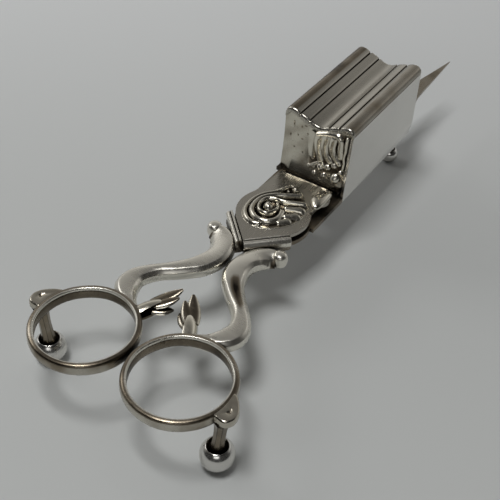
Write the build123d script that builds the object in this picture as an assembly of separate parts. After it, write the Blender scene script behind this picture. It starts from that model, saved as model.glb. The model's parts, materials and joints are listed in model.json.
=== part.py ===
from build123d import *
import os
from math import asin, atan2, cos, degrees, hypot, pi, radians, sin, sqrt

# A pair of scissor snuffers. Millimetres, +X from the handles to the wick spike, +Y to the left, +Z up.
# Everything is drawn about the pivot on the table plane, and set on the middle of its base at the end.

# Levels above the table and the lap joint
DECK = 19.5              # tops of the ring rims, the upper hinge plate and the box floor
TOP_PLATE_T = 1.1        # upper hinge plate, box floor and spike
WASHER_T = 1.4           # friction washer between the two plates
LOWER_PLATE_T = 1.2      # lower hinge plate and the neck of the pusher
PLAY = 0.05              # running play of the flat pivot faces
GAP = 0.35               # air between pieces that swing past each other

# Finger rings
RING_BORE_R = 11.6
RING_WALL = 1.65
RIM_FLAT = 0.75          # flat top of the rim
RIM_FALL = 0.7           # bevel from the rim down to the outer wall
FOOT_FALL = 0.8          # bevel from the outer wall in to the underside
RING_HEIGHT = 3.4
RING_GAP = 0.5           # air between the closed rings
RING_BACK = 59.8         # ring centres behind the pivot

# Ball feet of the rings
LUG_REACH = 3.4          # how far a lug stands out of its ring
LUG_T = 2.2
LUG_DROP = 0.15          # top of a lug below the deck
LUG_AHEAD = 27.0         # turn from a foot forward to the drawn-out point of its lug
LUG_BACK = 8.0           # turn from a foot back to the blunt end of its lug
LUG_FLANK = 0.65         # fullness of the two flanks
LUG_BEVEL = 0.4
DIMPLE_R = 0.8           # dimple in the top of a lug
DIMPLE_DEEP = 0.4
LEFT_FOOT_TURN = 90.0    # place of the left foot round its ring
RIGHT_FOOT_TURN = 103.0  # place of the right foot, seen in the mirror
STEM_OUT = 0.5           # head of a stem outside the ring wall
STEM_LEAN = 1.3          # how far a stem leans in under its ring
RING_BALL_R = 4.1
STEM_R = 1.45            # waist of a stem
STEM_FLARE = 0.5         # how much wider its ends are
STEM_SIDES = 8
SEAT_RIM = 0.4           # flat round the end of a stem on its ball
BALL_FLAT = 0.15         # worn flat under a ball

# Scroll handles
SCROLL_DROP = 0.7        # top of the scrolls below the deck
SCROLL_HEIGHT = 3.8
SCROLL_BEVEL = 1.0
SCROLL_AIR = 0.35        # air from a scroll to the middle plane
SCROLL_SEAT = 0.3        # how deep the bend is filed to seat on its shoulder
SCROLL_TAIL_WIDTH = 4.2  # width beside the knop
SCROLL_BEND_WIDTH = 6.2  # width in the forward bend
SCROLL_WAIST_WIDTH = 4.2
SCROLL_BULGE_WIDTH = 5.8
SCROLL_ROOT_WIDTH = 4.2  # width where it joins its ring
SCROLL_BEND = 0.286      # radius of the forward bend, as a share of the run from shoulder to ring
SCROLL_HOOK = 70.0       # turn of the forward bend up to the knop
SCROLL_BULGE = 0.193     # radius of the outward bulge, as a share of that run
SCROLL_BULGE_IN = 3.35   # middle of the outward bulge inside the middle of the ring
SCROLL_DIVE = 42.0       # slope of the root down to the ring
SCROLL_ROOT = 7.5        # length of the root, which the ring wall trims
KNOP_R = 2.0
KNOP_HEIGHT = 3.6
KNOP_BEVEL = 0.8
BUTTON_R = 0.9           # button on top of a knop
BUTTON_H = 0.4
KNOP_PAST = 8.0          # knop past the end of the hook, along the bend
KNOP_DROP = 2.7          # knop centre below the deck

# Leaf spurs between the rings
SPUR_TURN = 29.0         # lean of a spur from the length of the snuffers
SPUR_LENGTH = 11.5
SPUR_R = 2.3             # outside of the curled leaf
SPUR_ROOT_HALF = 1.5     # half its width at the root
SPUR_SWELL = 3.6         # widest place from the root
SPUR_T = 0.6
SPUR_DROP = 0.4          # top of a spur below the deck
SPUR_FALL = 1.3          # outer edge of the curl below its axis
SPUR_OPEN = 0.7          # free edge above its axis, on the open side
SPUR_NOTCHES = 3
SPUR_NOTCH_FIRST = 4.6   # first notch from the root
SPUR_NOTCH_STEP = 2.2
SPUR_NOTCH_R = 0.55

# Shoulders behind the hinge
SHOULDER_TURN = 45.0     # lean of the mouldings from the length of the snuffers
SHOULDER_IN = 10.6       # pivot to the inner faces of the mouldings
MOULDING_W = 1.8
MOULDING_RISE = 0.5      # bead of the mouldings above the deck
MOULDING_STEP = 0.3      # roll outside the bead, below it
MOULDING_END = 2.0       # length past the foot of the square from the pivot

# Hinge plates
PLATE_R = 10.0
PLATE_FRONT = 16.6       # front edge of the upper plate from the pivot
PLATE_RIGHT = 8.5
PLATE_LEFT = 8.7
OGEE_R = 7.0             # hollow where the round of the upper plate runs out into its neck
NICK_R = 0.6             # nick in its right edge
LOBE_R = 3.3
LOBE_BACK = 4.4          # lobe centre behind the front edge
LOBE_IN = 2.0            # lobe centre inside the right edge
NECK_W = 2.0             # neck from the upper plate to the box floor
SLOT_W = 0.8             # slot between the upper plate and the box floor
LOWER_AIR = 0.05         # round of the lower plate inside the swing of the shoulders
PIN_R = 1.6
PIN_PLAY = 0.05
WASHER_R = 5.0
HEAD_R = 3.2
HEAD_CROWN_R = 1.8       # flat end of the rivet head
HEAD_H = 1.1

# Snuff box
BOX_LEDGE = 2.1          # floor in front of the front wall
BOX_LENGTH = 41.6
BOX_LEFT = 10.0          # outside of the left wall
SHEAR_RIGHT = 9.7        # cutting edge of the floor
SHEAR_BEVEL = 0.55
WALL_T = 1.0
BOX_RISE = 18.5          # deck to the top of the shoulders
FRONT_LEAN = 1.2         # foot of the front wall ahead of its top
FRONT_HOLLOW = 0.5       # hollow of the front wall
TOP_T = 1.1
EAVES_DROP = 2.1         # eaves of the top below its shoulders
SHOULDER_ROUND = 2.0
GROOVE_OUT = 6.0         # outer grooves from the middle of the top
GROOVE_IN = 3.0
GROOVE_W = 0.5
GROOVE_DEEP = 0.35
OUTER_DROP = 0.8         # outer grooves below the shoulders
INNER_DROP = 1.8
TROUGH_DROP = 2.9

# Pusher
PUSHER_T = 1.0
PUSHER_AIR = 0.2         # pusher to the cutting edge
PUSHER_FRONT = 1.0       # foot of its front edge ahead of the front wall
PUSHER_PAST = 0.3        # how far it passes the far wall
PUSHER_CORNER_R = 4.0
BLADE_T = 1.0
BLADE_W = 3.2
BLADE_SETBACK = 3.0      # blade ends inside the pusher's ends
TONGUE_W = 5.0           # neck of the lower plate inside the pusher
TONGUE_LENGTH = 9.0      # how far the neck runs along the pusher
NECK_BACK = 2.5          # rear corner of that neck ahead of the pivot, clear of the right shoulder when open

# Spike and its foot
SPIKE_LENGTH = 40.8
SPIKE_ROOT_LEFT = 1.7
SPIKE_TIP_RIGHT = 5.2
SPIKE_STEP = 2.4         # square root of the spike
SPIKE_FLARE = 14.0       # end of the hollow flare from the box
SPIKE_FLARE_RIGHT = 6.3
SPIKE_HOLLOW = 0.4       # depth of the hollow flare
SPIKE_TIP_T = 0.5
SPIKE_FOOT_OUT = 3.3     # foot past the far wall
SPIKE_BALL_R = 2.75

# Ornament
SHELL_LONG = 9.6         # half length of the ground under the shell
SHELL_WIDE = 7.7
SHELL_GROUND = 0.5
SHELL_AHEAD = 2.0        # middle of the ground ahead of the pivot
SHELL_RISE = 1.7
EYE_AHEAD = 0.3          # eye of the shell from the pivot
EYE_LEFT = 1.8
EYE_R = 1.5
BAND_W = 1.15
SHELL_BANDS = (          # radius, first turn, sweep and length of the flute that each band runs out into
    (2.9, 18.0, 285.0, 7.6),
    (4.5, 45.0, 245.0, 9.0),
    (6.0, 65.0, 130.0, 9.2),
)
FLUTES = 3               # short flutes on the right
FLUTE_FIRST = -62.0      # direction of the first one from the eye
FLUTE_STEP = -26.0
FLUTE_IN = 5.8
FLUTE_OUT = 7.9
FLUTE_W = 1.5
BEAD_LONG = 2.9          # half length of the drop on the lobe
BEAD_WIDE = 1.7
BEAD_RISE = 1.0
BEAD_CROWN = 0.4         # size of its flat top against its foot
LEAF_T = 0.9
LEAF_RIGHT = 5.2         # foot of the leaf from the middle of the box
LEAF_FOOT = 1.4          # foot of the leaf above the floor
LEAF_LOBES = 5
LEAF_LEAN_FIRST = -22.0  # lean of the lobe beside the pusher
LEAF_LEAN_LAST = 66.0    # lean of the lobe furthest from it
LEAF_LONG = 6.4          # half length of the longest lobe
LEAF_SHRINK = 0.7        # how much shorter each next lobe is
LEAF_WIDE = 1.6

# Levels and places that follow
TOP_UNDER = DECK - TOP_PLATE_T
WASHER_UNDER = TOP_UNDER - WASHER_T
LOWER_TOP = WASHER_UNDER - PLAY
LOWER_UNDER = LOWER_TOP - LOWER_PLATE_T
RING_UNDER = DECK - RING_HEIGHT
LUG_UNDER = DECK - LUG_DROP - LUG_T
RING_OUT_R = RING_BORE_R + RING_WALL
RING_Y = RING_OUT_R + RING_GAP / 2
SQUARE = degrees(pi / 2)
SHOULDER_DIR = SQUARE + SHOULDER_TURN
SHOULDER_OUT = SHOULDER_IN + MOULDING_W
SCROLL_RUN = RING_BACK - RING_OUT_R - SHOULDER_OUT / sin(radians(SHOULDER_TURN))
SCROLL_BEND_R = SCROLL_BEND * SCROLL_RUN
SCROLL_BULGE_R = SCROLL_BULGE * SCROLL_RUN
HOOK_WIDTH = (SCROLL_TAIL_WIDTH + SCROLL_BEND_WIDTH) / 2
BEND_OUT_R = SCROLL_BEND_R + HOOK_WIDTH / 2 - SCROLL_SEAT
BEND_Y = SCROLL_AIR + SCROLL_BEND_WIDTH / 2 + SCROLL_BEND_R
BEND_X = (BEND_Y * cos(radians(SHOULDER_TURN)) - SHOULDER_OUT - BEND_OUT_R) / sin(radians(SHOULDER_TURN))
LOWER_PLATE_R = SHOULDER_IN - GAP - LOWER_AIR
FLOOR_FRONT = PLATE_FRONT + SLOT_W
BOX_FRONT = FLOOR_FRONT + BOX_LEDGE
BOX_END = BOX_FRONT + BOX_LENGTH
TOP_FRONT = BOX_FRONT + FRONT_LEAN
BOX_TOP = DECK + BOX_RISE
EAVES = BOX_TOP - EAVES_DROP
PUSHER_IN = SHEAR_RIGHT + PUSHER_AIR
PUSHER_OUT = PUSHER_IN + PUSHER_T
PUSHER_X0 = BOX_FRONT - PUSHER_FRONT
PUSHER_X1 = BOX_END + PUSHER_PAST
REACH = 2 * (RING_BACK + BOX_END)


def half_plane(direction, distance):
    """Flat area beyond a line that stands square to a direction from the pivot."""
    return Rot(0, 0, direction) * Pos(distance + REACH / 2, 0) * Rectangle(REACH, REACH)


def slab(low, high):
    """Block from corner to corner."""
    size = [b - a for a, b in zip(low, high)]
    middle = [(a + b) / 2 for a, b in zip(low, high)]
    return Pos(*middle) * Box(*size)


def on_arc(centre, radius, turn):
    """Point on a circle, and the way along it."""
    at = radians(turn)
    point = (centre[0] + radius * cos(at), centre[1] + radius * sin(at))
    return point, (-sin(at), cos(at))


def at_ring(level):
    """Place of the left finger ring at a height above the table."""
    return Pos(-RING_BACK, RING_Y, level)


def finger_ring():
    """Ring of the left hand: a plain bore, and an outer wall that draws in to a narrow rim."""
    rim = RING_BORE_R + RIM_FLAT
    section = make_face(Polyline(
        (RING_BORE_R, RING_UNDER), (rim, RING_UNDER), (RING_OUT_R, RING_UNDER + FOOT_FALL),
        (RING_OUT_R, DECK - RIM_FALL), (rim, DECK), (RING_BORE_R, DECK), close=True))
    return at_ring(0) * revolve(Plane.XZ * section, Axis.Z)


def ring_room(low):
    """Room of the left ring and its finger above a level, which trims what is soldered to the wall."""
    return at_ring(low) * extrude(Circle(RING_OUT_R), REACH)


def stem_head(turn):
    """Head of the stem of a ring foot, at the height of the table."""
    place, along = on_arc((-RING_BACK, RING_Y), RING_OUT_R + STEM_OUT, turn)
    return Pos(*place, 0)


def foot_place(turn):
    """Ball of a ring foot, at the height of the table."""
    place, along = on_arc((-RING_BACK, RING_Y), RING_OUT_R + STEM_OUT - STEM_LEAN, turn)
    return Pos(*place, 0)


def foot_lug(turn):
    """Dimpled tongue on the ring wall that carries a foot, blunt behind and drawn out ahead."""
    flank = RING_OUT_R + LUG_FLANK * LUG_REACH
    spots = [
        (RING_BORE_R, -LUG_AHEAD),
        (flank, -LUG_AHEAD / 2),
        (RING_OUT_R + LUG_REACH, 0),
        (flank, LUG_FLANK * LUG_BACK),
        (RING_BORE_R, LUG_BACK),
    ]
    points = [on_arc((0, 0), radius, spot)[0] for radius, spot in spots]
    outline = make_face([ThreePointArc(*points[:3]), ThreePointArc(*points[2:]), Line(points[-1], points[0])])
    tongue = extrude(outline, LUG_T)
    tongue = chamfer(tongue.edges().group_by(Axis.Z)[-1], LUG_BEVEL)
    dimple = Cone(0, DIMPLE_R, DIMPLE_DEEP)
    tongue -= Pos(RING_OUT_R + LUG_REACH / 2, 0, LUG_T - DIMPLE_DEEP / 2) * dimple
    return at_ring(LUG_UNDER) * Rot(0, 0, turn) * tongue - ring_room(0)


def ball_seat(radius):
    """Height of the flat on a ball where its stem stands."""
    end = STEM_R + STEM_FLARE + SEAT_RIM
    return radius - BALL_FLAT + sqrt(radius ** 2 - end ** 2)


def foot_ball(radius):
    """Ball with a worn flat under it and a flat seat for the stem."""
    ball = Pos(0, 0, radius - BALL_FLAT) * Sphere(radius)
    keep = slab((-radius, -radius, 0), (radius, radius, ball_seat(radius)))
    return ball & keep


def foot_stem(foot, head, radius, top):
    """Eight-sided waisted stem from the seat of its ball up to what it carries."""
    low = ball_seat(radius)
    wide = STEM_R + STEM_FLARE
    middle = (foot.position + head.position) / 2
    ends = [
        Pos(*foot.position) * Pos(0, 0, low) * RegularPolygon(wide, STEM_SIDES),
        Pos(*middle) * Pos(0, 0, (low + top) / 2) * RegularPolygon(STEM_R, STEM_SIDES),
        Pos(*head.position) * Pos(0, 0, top) * RegularPolygon(wide, STEM_SIDES),
    ]
    return loft(ends, ruled=True)


def ring_stem(turn):
    """Stem of a foot of the left ring, notched round the ring wall."""
    stem = foot_stem(foot_place(turn), stem_head(turn), RING_BALL_R, LUG_UNDER)
    return stem - ring_room(RING_UNDER)


def knop_place():
    """Middle of the knop, on the line of the hook of the left scroll."""
    place, along = on_arc((BEND_X, BEND_Y), SCROLL_BEND_R, SCROLL_HOOK + KNOP_PAST - SQUARE)
    return Pos(*place, DECK - KNOP_DROP)


def knop():
    """Turned knop with a button on top, at the end of the left scroll."""
    high = KNOP_HEIGHT / 2
    end = KNOP_R - KNOP_BEVEL
    crown = high + BUTTON_H
    section = make_face(Polyline(
        (0, -high), (end, -high), (KNOP_R, KNOP_BEVEL - high), (KNOP_R, high - KNOP_BEVEL),
        (end, high), (BUTTON_R, high), (BUTTON_R, crown), (0, crown), close=True))
    return knop_place() * revolve(Plane.XZ * section, Axis.Z)


def scroll_runs():
    """Arcs of the left scroll: centre, radius, first and last turn, first and last width."""
    bend = (BEND_X, BEND_Y)
    bulge = (RING_OUT_R - RING_BACK + SCROLL_BULGE_R, RING_Y - SCROLL_BULGE_IN)
    back, out = bend[0] - bulge[0], bulge[1] - bend[1]
    apart = hypot(back, out)
    lean = degrees(atan2(out, back) + asin((SCROLL_BEND_R + SCROLL_BULGE_R) / apart))
    waist = SCROLL_WAIST_WIDTH
    return [
        (bend, -SCROLL_BEND_R, SQUARE + SCROLL_HOOK, SQUARE, SCROLL_TAIL_WIDTH, SCROLL_BEND_WIDTH),
        (bend, -SCROLL_BEND_R, SQUARE, SQUARE - lean, SCROLL_BEND_WIDTH, waist),
        (bulge, SCROLL_BULGE_R, SQUARE - lean, SQUARE, waist, SCROLL_BULGE_WIDTH),
        (bulge, SCROLL_BULGE_R, SQUARE, SQUARE + SCROLL_DIVE, SCROLL_BULGE_WIDTH, SCROLL_ROOT_WIDTH),
    ]


def beside(point, along, out):
    """Point beside a line, a distance to its left."""
    return (point[0] - out * along[1], point[1] + out * along[0])


def scroll_edge(side, inset):
    """Arcs along one edge of the left scroll, set in, with its straight waist and a straight root."""
    edges = []
    for centre, radius, first, last, width, end_width in scroll_runs():
        points = []
        for share in (0, 1 / 2, 1):
            point, along = on_arc(centre, radius, first + (last - first) * share)
            half = (width + (end_width - width) * share) / 2 - inset
            points.append(beside(point, along, side * half))
        if edges and (edges[-1] @ 1 - Vector(*points[0])).length > PLAY:
            edges.append(Line(edges[-1] @ 1, points[0]))
        edges.append(ThreePointArc(*points))
    start = points[-1]
    edges.append(Line(start, (start[0] + SCROLL_ROOT * along[0], start[1] + SCROLL_ROOT * along[1])))
    return edges


def scroll_outline(level, inset):
    """Plan of the left scroll at a height below the deck, set in from its edges."""
    near, far = scroll_edge(1, inset), scroll_edge(-1, inset)
    ends = [Line(near[0] @ 0, far[0] @ 0), Line(near[-1] @ 1, far[-1] @ 1)]
    return Pos(0, 0, DECK - level) * make_face(near + far + ends)


def scroll_handle():
    """S scroll of the left hand, swelling in its bends, from the knop back to the ring."""
    top, foot = SCROLL_DROP, SCROLL_DROP + SCROLL_HEIGHT
    body = loft([
        scroll_outline(top, SCROLL_BEVEL),
        scroll_outline(top + SCROLL_BEVEL, 0),
        scroll_outline(foot - SCROLL_BEVEL, 0),
        scroll_outline(foot, SCROLL_BEVEL),
    ], ruled=True)
    seat = extrude(half_plane(SHOULDER_DIR, SHOULDER_OUT), REACH)
    return (body & seat) - knop_place() * Cylinder(KNOP_R, REACH) - ring_room(0)


def leaf_spur():
    """Pointed curled leaf on the left ring, open towards the space between the rings, with a notched rim."""
    root = RING_BORE_R
    swell = RING_OUT_R + SPUR_SWELL
    tip = RING_OUT_R + SPUR_LENGTH
    outline = make_face([
        ThreePointArc((root, SPUR_ROOT_HALF), (swell, SPUR_R), (tip, 0)),
        ThreePointArc((root, -SPUR_ROOT_HALF), (swell, -SPUR_R), (tip, 0)),
        Line((root, SPUR_ROOT_HALF), (root, -SPUR_ROOT_HALF)),
    ])
    for number in range(SPUR_NOTCHES):
        along = RING_OUT_R + SPUR_NOTCH_FIRST + SPUR_NOTCH_STEP * number
        half = SPUR_R * sqrt((tip - along) / (tip - swell))
        outline -= Pos(along, -half) * Circle(SPUR_NOTCH_R)
    along_x = (0, SQUARE, 0)
    curl = Cylinder(SPUR_R, REACH, rotation=along_x) - Cylinder(SPUR_R - SPUR_T, REACH, rotation=along_x)
    curl -= slab((-REACH, -REACH, -REACH), (REACH, 0, SPUR_OPEN))
    curl -= slab((-REACH, 0, -REACH), (REACH, REACH, -SPUR_FALL))
    leaf = extrude(outline, REACH, both=True) & curl
    return at_ring(DECK - SPUR_DROP - SPUR_R) * Rot(0, 0, -SPUR_TURN) * leaf - ring_room(0)


def shoulder_moulding():
    """Bar behind the hinge plates on the left, with a bead and a lower roll along its top."""
    crest = DECK + MOULDING_RISE
    edge = crest - MOULDING_W / 4
    middle = (SHOULDER_IN + SHOULDER_OUT) / 2
    quirk = (middle, edge)
    bead = ThreePointArc((SHOULDER_IN, edge), ((SHOULDER_IN + middle) / 2, crest), quirk)
    roll = ThreePointArc(quirk, ((SHOULDER_OUT + middle) / 2, crest - MOULDING_STEP), (SHOULDER_OUT, edge))
    sides = Polyline((SHOULDER_OUT, edge), (SHOULDER_OUT, LOWER_UNDER), (SHOULDER_IN, LOWER_UNDER),
                     (SHOULDER_IN, edge))
    bar = extrude(Plane.XZ * make_face([bead, roll, sides]), REACH, both=True)
    bar = bar & slab((0, -MOULDING_END, 0), (REACH, REACH, REACH))
    bar = Rot(0, 0, SHOULDER_DIR) * bar
    return bar & slab((-REACH, GAP / 2, 0), (REACH, REACH, REACH))


def rear_point():
    """Pointed rear of a hinge plate, up to the inner faces of both shoulders."""
    back = SHOULDER_IN * sin(radians(SHOULDER_TURN))
    out = SHOULDER_IN * cos(radians(SHOULDER_TURN))
    apex = SHOULDER_IN / sin(radians(SHOULDER_TURN))
    return make_face(Polyline((0, 0), (-back, -out), (-apex, 0), (-back, out), close=True))


def hinge_top_plate():
    """Upper plate of the box arm, drilled for the pivot, with a neck to the box floor."""
    outline = Circle(PLATE_R) + rear_point()
    width = PLATE_LEFT + PLATE_RIGHT
    outline += Pos(PLATE_FRONT / 2, (PLATE_LEFT - PLATE_RIGHT) / 2) * Rectangle(PLATE_FRONT, width)
    outline += Pos(PLATE_FRONT - LOBE_BACK, LOBE_IN - PLATE_RIGHT) * Circle(LOBE_R)
    outline += Pos(FLOOR_FRONT / 2, PLATE_LEFT - NECK_W / 2) * Rectangle(FLOOR_FRONT, NECK_W)
    run_out = (sqrt(PLATE_R ** 2 - PLATE_LEFT ** 2), PLATE_LEFT, 0)
    outline = fillet(outline.vertices().sort_by_distance(run_out)[0], OGEE_R)
    outline -= Pos(sqrt(PLATE_R ** 2 - PLATE_RIGHT ** 2), -PLATE_RIGHT) * Circle(NICK_R)
    outline -= half_plane(SHOULDER_DIR, SHOULDER_IN - GAP)
    outline -= Circle(PIN_R)
    return Pos(0, 0, TOP_UNDER) * extrude(outline, TOP_PLATE_T)


def hinge_lower_plate():
    """Lower plate of the pusher arm, with the neck that carries the pusher."""
    outline = Circle(LOWER_PLATE_R) + rear_point()
    neck_w = PUSHER_T + TONGUE_W
    neck_middle = (NECK_BACK + PUSHER_X0) / 2
    outline += Pos(neck_middle, neck_w / 2 - PUSHER_OUT) * Rectangle(PUSHER_X0 - NECK_BACK, neck_w)
    tongue = PUSHER_X0 + TONGUE_LENGTH
    outline += Pos(tongue / 2, TONGUE_W / 2 - PUSHER_IN) * Rectangle(tongue, TONGUE_W)
    outline -= half_plane(-SHOULDER_DIR, SHOULDER_IN - GAP)
    outline -= Circle(PIN_R + PIN_PLAY)
    return Pos(0, 0, LOWER_UNDER) * extrude(outline, LOWER_PLATE_T)


def pivot_washer():
    ring = Circle(WASHER_R) - Circle(PIN_R)
    return Pos(0, 0, WASHER_UNDER) * extrude(ring, WASHER_T)


def pivot_rivet():
    """Pin with a coned head under the lower plate."""
    seat = LOWER_UNDER - PLAY
    shank = extrude(Circle(PIN_R), DECK - seat)
    return Pos(0, 0, seat) * (shank + Pos(0, 0, -HEAD_H / 2) * Cone(HEAD_CROWN_R, HEAD_R, HEAD_H))


def box_floor():
    """Floor of the snuff box, with a bevelled cutting edge on its open side."""
    floor = slab((FLOOR_FRONT, -SHEAR_RIGHT, TOP_UNDER), (BOX_END, BOX_LEFT, DECK))
    edge = floor.edges().filter_by(Axis.X).group_by(Axis.Y)[0].sort_by(Axis.Z)[-1]
    return chamfer(edge, SHEAR_BEVEL)


def top_line(inset):
    """Moulded line of the box top from its right eaves to its left ones, set in by a distance."""
    z = BOX_TOP - inset
    edge = EAVES - inset
    right = inset - PUSHER_OUT
    left = BOX_LEFT - inset
    middle = (left + right) / 2
    rounded = SHOULDER_ROUND - inset / 2
    line = [
        Line((right, edge), (right, z - rounded)),
        CenterArc((right + rounded, z - rounded), rounded, 90, 90),
    ]
    place = (right + rounded, z)
    outer = (GROOVE_OUT, OUTER_DROP)
    inner = (GROOVE_IN, INNER_DROP)
    for side, (offset, fall) in [(-1, outer), (-1, inner), (1, inner), (1, outer)]:
        groove = middle + side * offset
        near = (groove - GROOVE_W / 2, z - fall)
        if side > 0 and offset == GROOVE_IN:
            line.append(ThreePointArc(place, (middle, z - TROUGH_DROP), near))
        else:
            line.append(Line(place, near))
        place = (groove + GROOVE_W / 2, z - fall)
        line.append(Polyline(near, (groove, z - fall - GROOVE_DEEP), place))
    line.append(Line(place, (left - rounded, z)))
    line.append(CenterArc((left - rounded, z - rounded), rounded, 0, 90))
    line.append(Line((left, z - rounded), (left, edge)))
    return line, (right, edge), (left, edge)


def under_line(inset):
    """Room below the moulded line of the top, set in by a distance."""
    line, right, left = top_line(inset)
    foot = Polyline(left, (left[0], 0), (right[0], 0), right)
    return extrude(Plane.YZ * make_face(line + [foot]), REACH)


def box_top():
    """Moulded sheet over the box, with a lip that hides the top of the pusher."""
    sheet = under_line(0) - under_line(TOP_T)
    sheet = sheet & slab((TOP_FRONT, -REACH, 0), (BOX_END, REACH, BOX_TOP))
    for lip in (TOP_T - PUSHER_OUT, BOX_LEFT):
        sheet -= slab((0, lip - TOP_T, 0), (REACH, lip, EAVES))
    return sheet


def front_curve(out):
    """Hollow line of the front wall, moved out by a distance."""
    foot = (BOX_FRONT - out, DECK)
    head = (TOP_FRONT - out, BOX_TOP)
    middle = ((foot[0] + head[0]) / 2 + FRONT_HOLLOW, (foot[1] + head[1]) / 2)
    return ThreePointArc(foot, middle, head), foot, head


def front_layer(out, back):
    """Layer that follows the hollow front wall, between two distances from its face."""
    front, front_foot, front_head = front_curve(out)
    rear, rear_foot, rear_head = front_curve(back)
    face = make_face([front, rear, Line(front_foot, rear_foot), Line(front_head, rear_head)])
    return Pos(0, REACH / 2, 0) * extrude(Plane.XZ * face, REACH)


def side_limit():
    """Room between the cutting edge and the left wall."""
    return slab((-REACH, -SHEAR_RIGHT, DECK), (REACH, BOX_LEFT, BOX_TOP))


def wall_room():
    """Room for the walls, under the moulded top and down to the floor."""
    left = slab((0, BOX_LEFT - TOP_T, 0), (REACH, BOX_LEFT, EAVES))
    return (under_line(TOP_T) + left) & side_limit()


def box_front_wall():
    return front_layer(0, -WALL_T) & wall_room()


def box_far_wall():
    return slab((BOX_END - WALL_T, -SHEAR_RIGHT, DECK), (BOX_END, BOX_LEFT, BOX_TOP)) & wall_room()


def box_left_wall():
    """Wall between the two end walls, on the left."""
    wall = slab((BOX_FRONT, BOX_LEFT - WALL_T, DECK), (BOX_END - WALL_T, BOX_LEFT, EAVES))
    return wall - front_layer(BOX_LENGTH, -WALL_T)


def pusher_plate():
    """Flat plate that closes the open side of the box."""
    top = EAVES - GAP
    lean = FRONT_LEAN + PUSHER_FRONT
    outline = make_face(Polyline((PUSHER_X0, LOWER_UNDER), (PUSHER_X1, LOWER_UNDER), (PUSHER_X1, top),
                                 (PUSHER_X0 + lean, top), close=True))
    corner = outline.vertices().sort_by(Axis.X)[-2:].sort_by(Axis.Y)[0]
    outline = fillet(corner, PUSHER_CORNER_R)
    return Pos(0, -PUSHER_IN, 0) * extrude(Plane.XZ * outline, PUSHER_T)


def shear_blade():
    """Wedge inside the foot of the pusher that cuts under the edge of the box floor."""
    top = TOP_UNDER - PLAY
    wedge = make_face(Polyline((-PUSHER_IN, top), (-PUSHER_IN, top - BLADE_T),
                               (BLADE_W - PUSHER_IN, top), close=True))
    length = PUSHER_X1 - PUSHER_X0 - 2 * BLADE_SETBACK
    return Pos(PUSHER_X0 + BLADE_SETBACK, 0, 0) * extrude(Plane.YZ * wedge, length)


def wick_spike():
    """Flat tapering point on the far end of the box floor."""
    tip = (BOX_END + SPIKE_LENGTH, -SPIKE_TIP_RIGHT)
    step = (BOX_END + SPIKE_STEP, -SHEAR_RIGHT)
    flare = (BOX_END + SPIKE_FLARE, -SPIKE_FLARE_RIGHT)
    middle = ((step[0] + flare[0]) / 2, (step[1] + flare[1]) / 2 + SPIKE_HOLLOW)
    edge = [
        Line((BOX_END, -SHEAR_RIGHT), step),
        ThreePointArc(step, middle, flare),
        Polyline(flare, tip, (BOX_END, SPIKE_ROOT_LEFT), (BOX_END, -SHEAR_RIGHT)),
    ]
    blade = Pos(0, 0, TOP_UNDER) * extrude(make_face(edge), TOP_PLATE_T)
    taper = make_face(Polyline((BOX_END, TOP_UNDER), (BOX_END, DECK), (BOX_END + SPIKE_FLARE, DECK),
                               (tip[0], TOP_UNDER + SPIKE_TIP_T), (tip[0], TOP_UNDER), close=True))
    return blade & Pos(0, REACH / 2, 0) * extrude(Plane.XZ * taper, REACH)


def spike_foot_place():
    return Pos(BOX_END + SPIKE_FOOT_OUT, (SPIKE_ROOT_LEFT - SHEAR_RIGHT) / 2, 0)


def shell_ornament():
    """Shell over the pivot: bands that turn round an eye and run out as flutes, on a thin ground."""
    eye = Pos(EYE_AHEAD, EYE_LEFT)
    shell = extrude(Pos(SHELL_AHEAD, 0) * Ellipse(SHELL_LONG, SHELL_WIDE), SHELL_GROUND)
    outline = eye * Circle(EYE_R)
    for radius, turn, sweep, flute in SHELL_BANDS:
        start, along = on_arc((0, 0), radius, turn)
        end = (start[0] - flute * along[0], start[1] - flute * along[1])
        outline += eye * trace([CenterArc((0, 0), radius, turn, sweep), Line(start, end)], BAND_W)
        outline += eye * Pos(*end) * Circle(BAND_W / 2)
    for number in range(FLUTES):
        turn = FLUTE_FIRST + FLUTE_STEP * number
        flute = SlotCenterToCenter(FLUTE_OUT - FLUTE_IN, FLUTE_W)
        outline += eye * Rot(0, 0, turn) * Pos((FLUTE_IN + FLUTE_OUT) / 2, 0) * flute
    return Pos(0, 0, DECK) * (shell + extrude(outline, SHELL_RISE))


def lobe_bead():
    """Raised drop on the lobe of the upper plate, pointed at both ends."""
    ends = ((-BEAD_LONG, 0), (BEAD_LONG, 0))
    flanks = [ThreePointArc(ends[0], (0, side * BEAD_WIDE), ends[1]) for side in (-1, 1)]
    foot = make_face(flanks)
    bead = loft([foot, Pos(0, 0, BEAD_RISE) * scale(foot, BEAD_CROWN)], ruled=True)
    return Pos(PLATE_FRONT - LOBE_BACK, LOBE_IN - PLATE_RIGHT, DECK) * bead


def front_leaf():
    """Leaf in low relief on the front wall, beside the pusher."""
    foot = Pos((BOX_LEFT - SHEAR_RIGHT) / 2 - LEAF_RIGHT, DECK + LEAF_FOOT)
    outline = foot * Pos(0, LEAF_WIDE) * Circle(LEAF_WIDE)
    for number in range(LEAF_LOBES):
        lean = LEAF_LEAN_FIRST + (LEAF_LEAN_LAST - LEAF_LEAN_FIRST) * number / (LEAF_LOBES - 1)
        long = LEAF_LONG - LEAF_SHRINK * number
        outline += foot * Rot(0, 0, -lean) * Pos(0, long) * Ellipse(LEAF_WIDE, long)
    return front_layer(LEAF_T, 0) & extrude(Plane.YZ * outline, REACH) & side_limit()


def right_of(shape):
    """The same piece for the right hand."""
    return mirror(shape, about=Plane.XZ)


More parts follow.
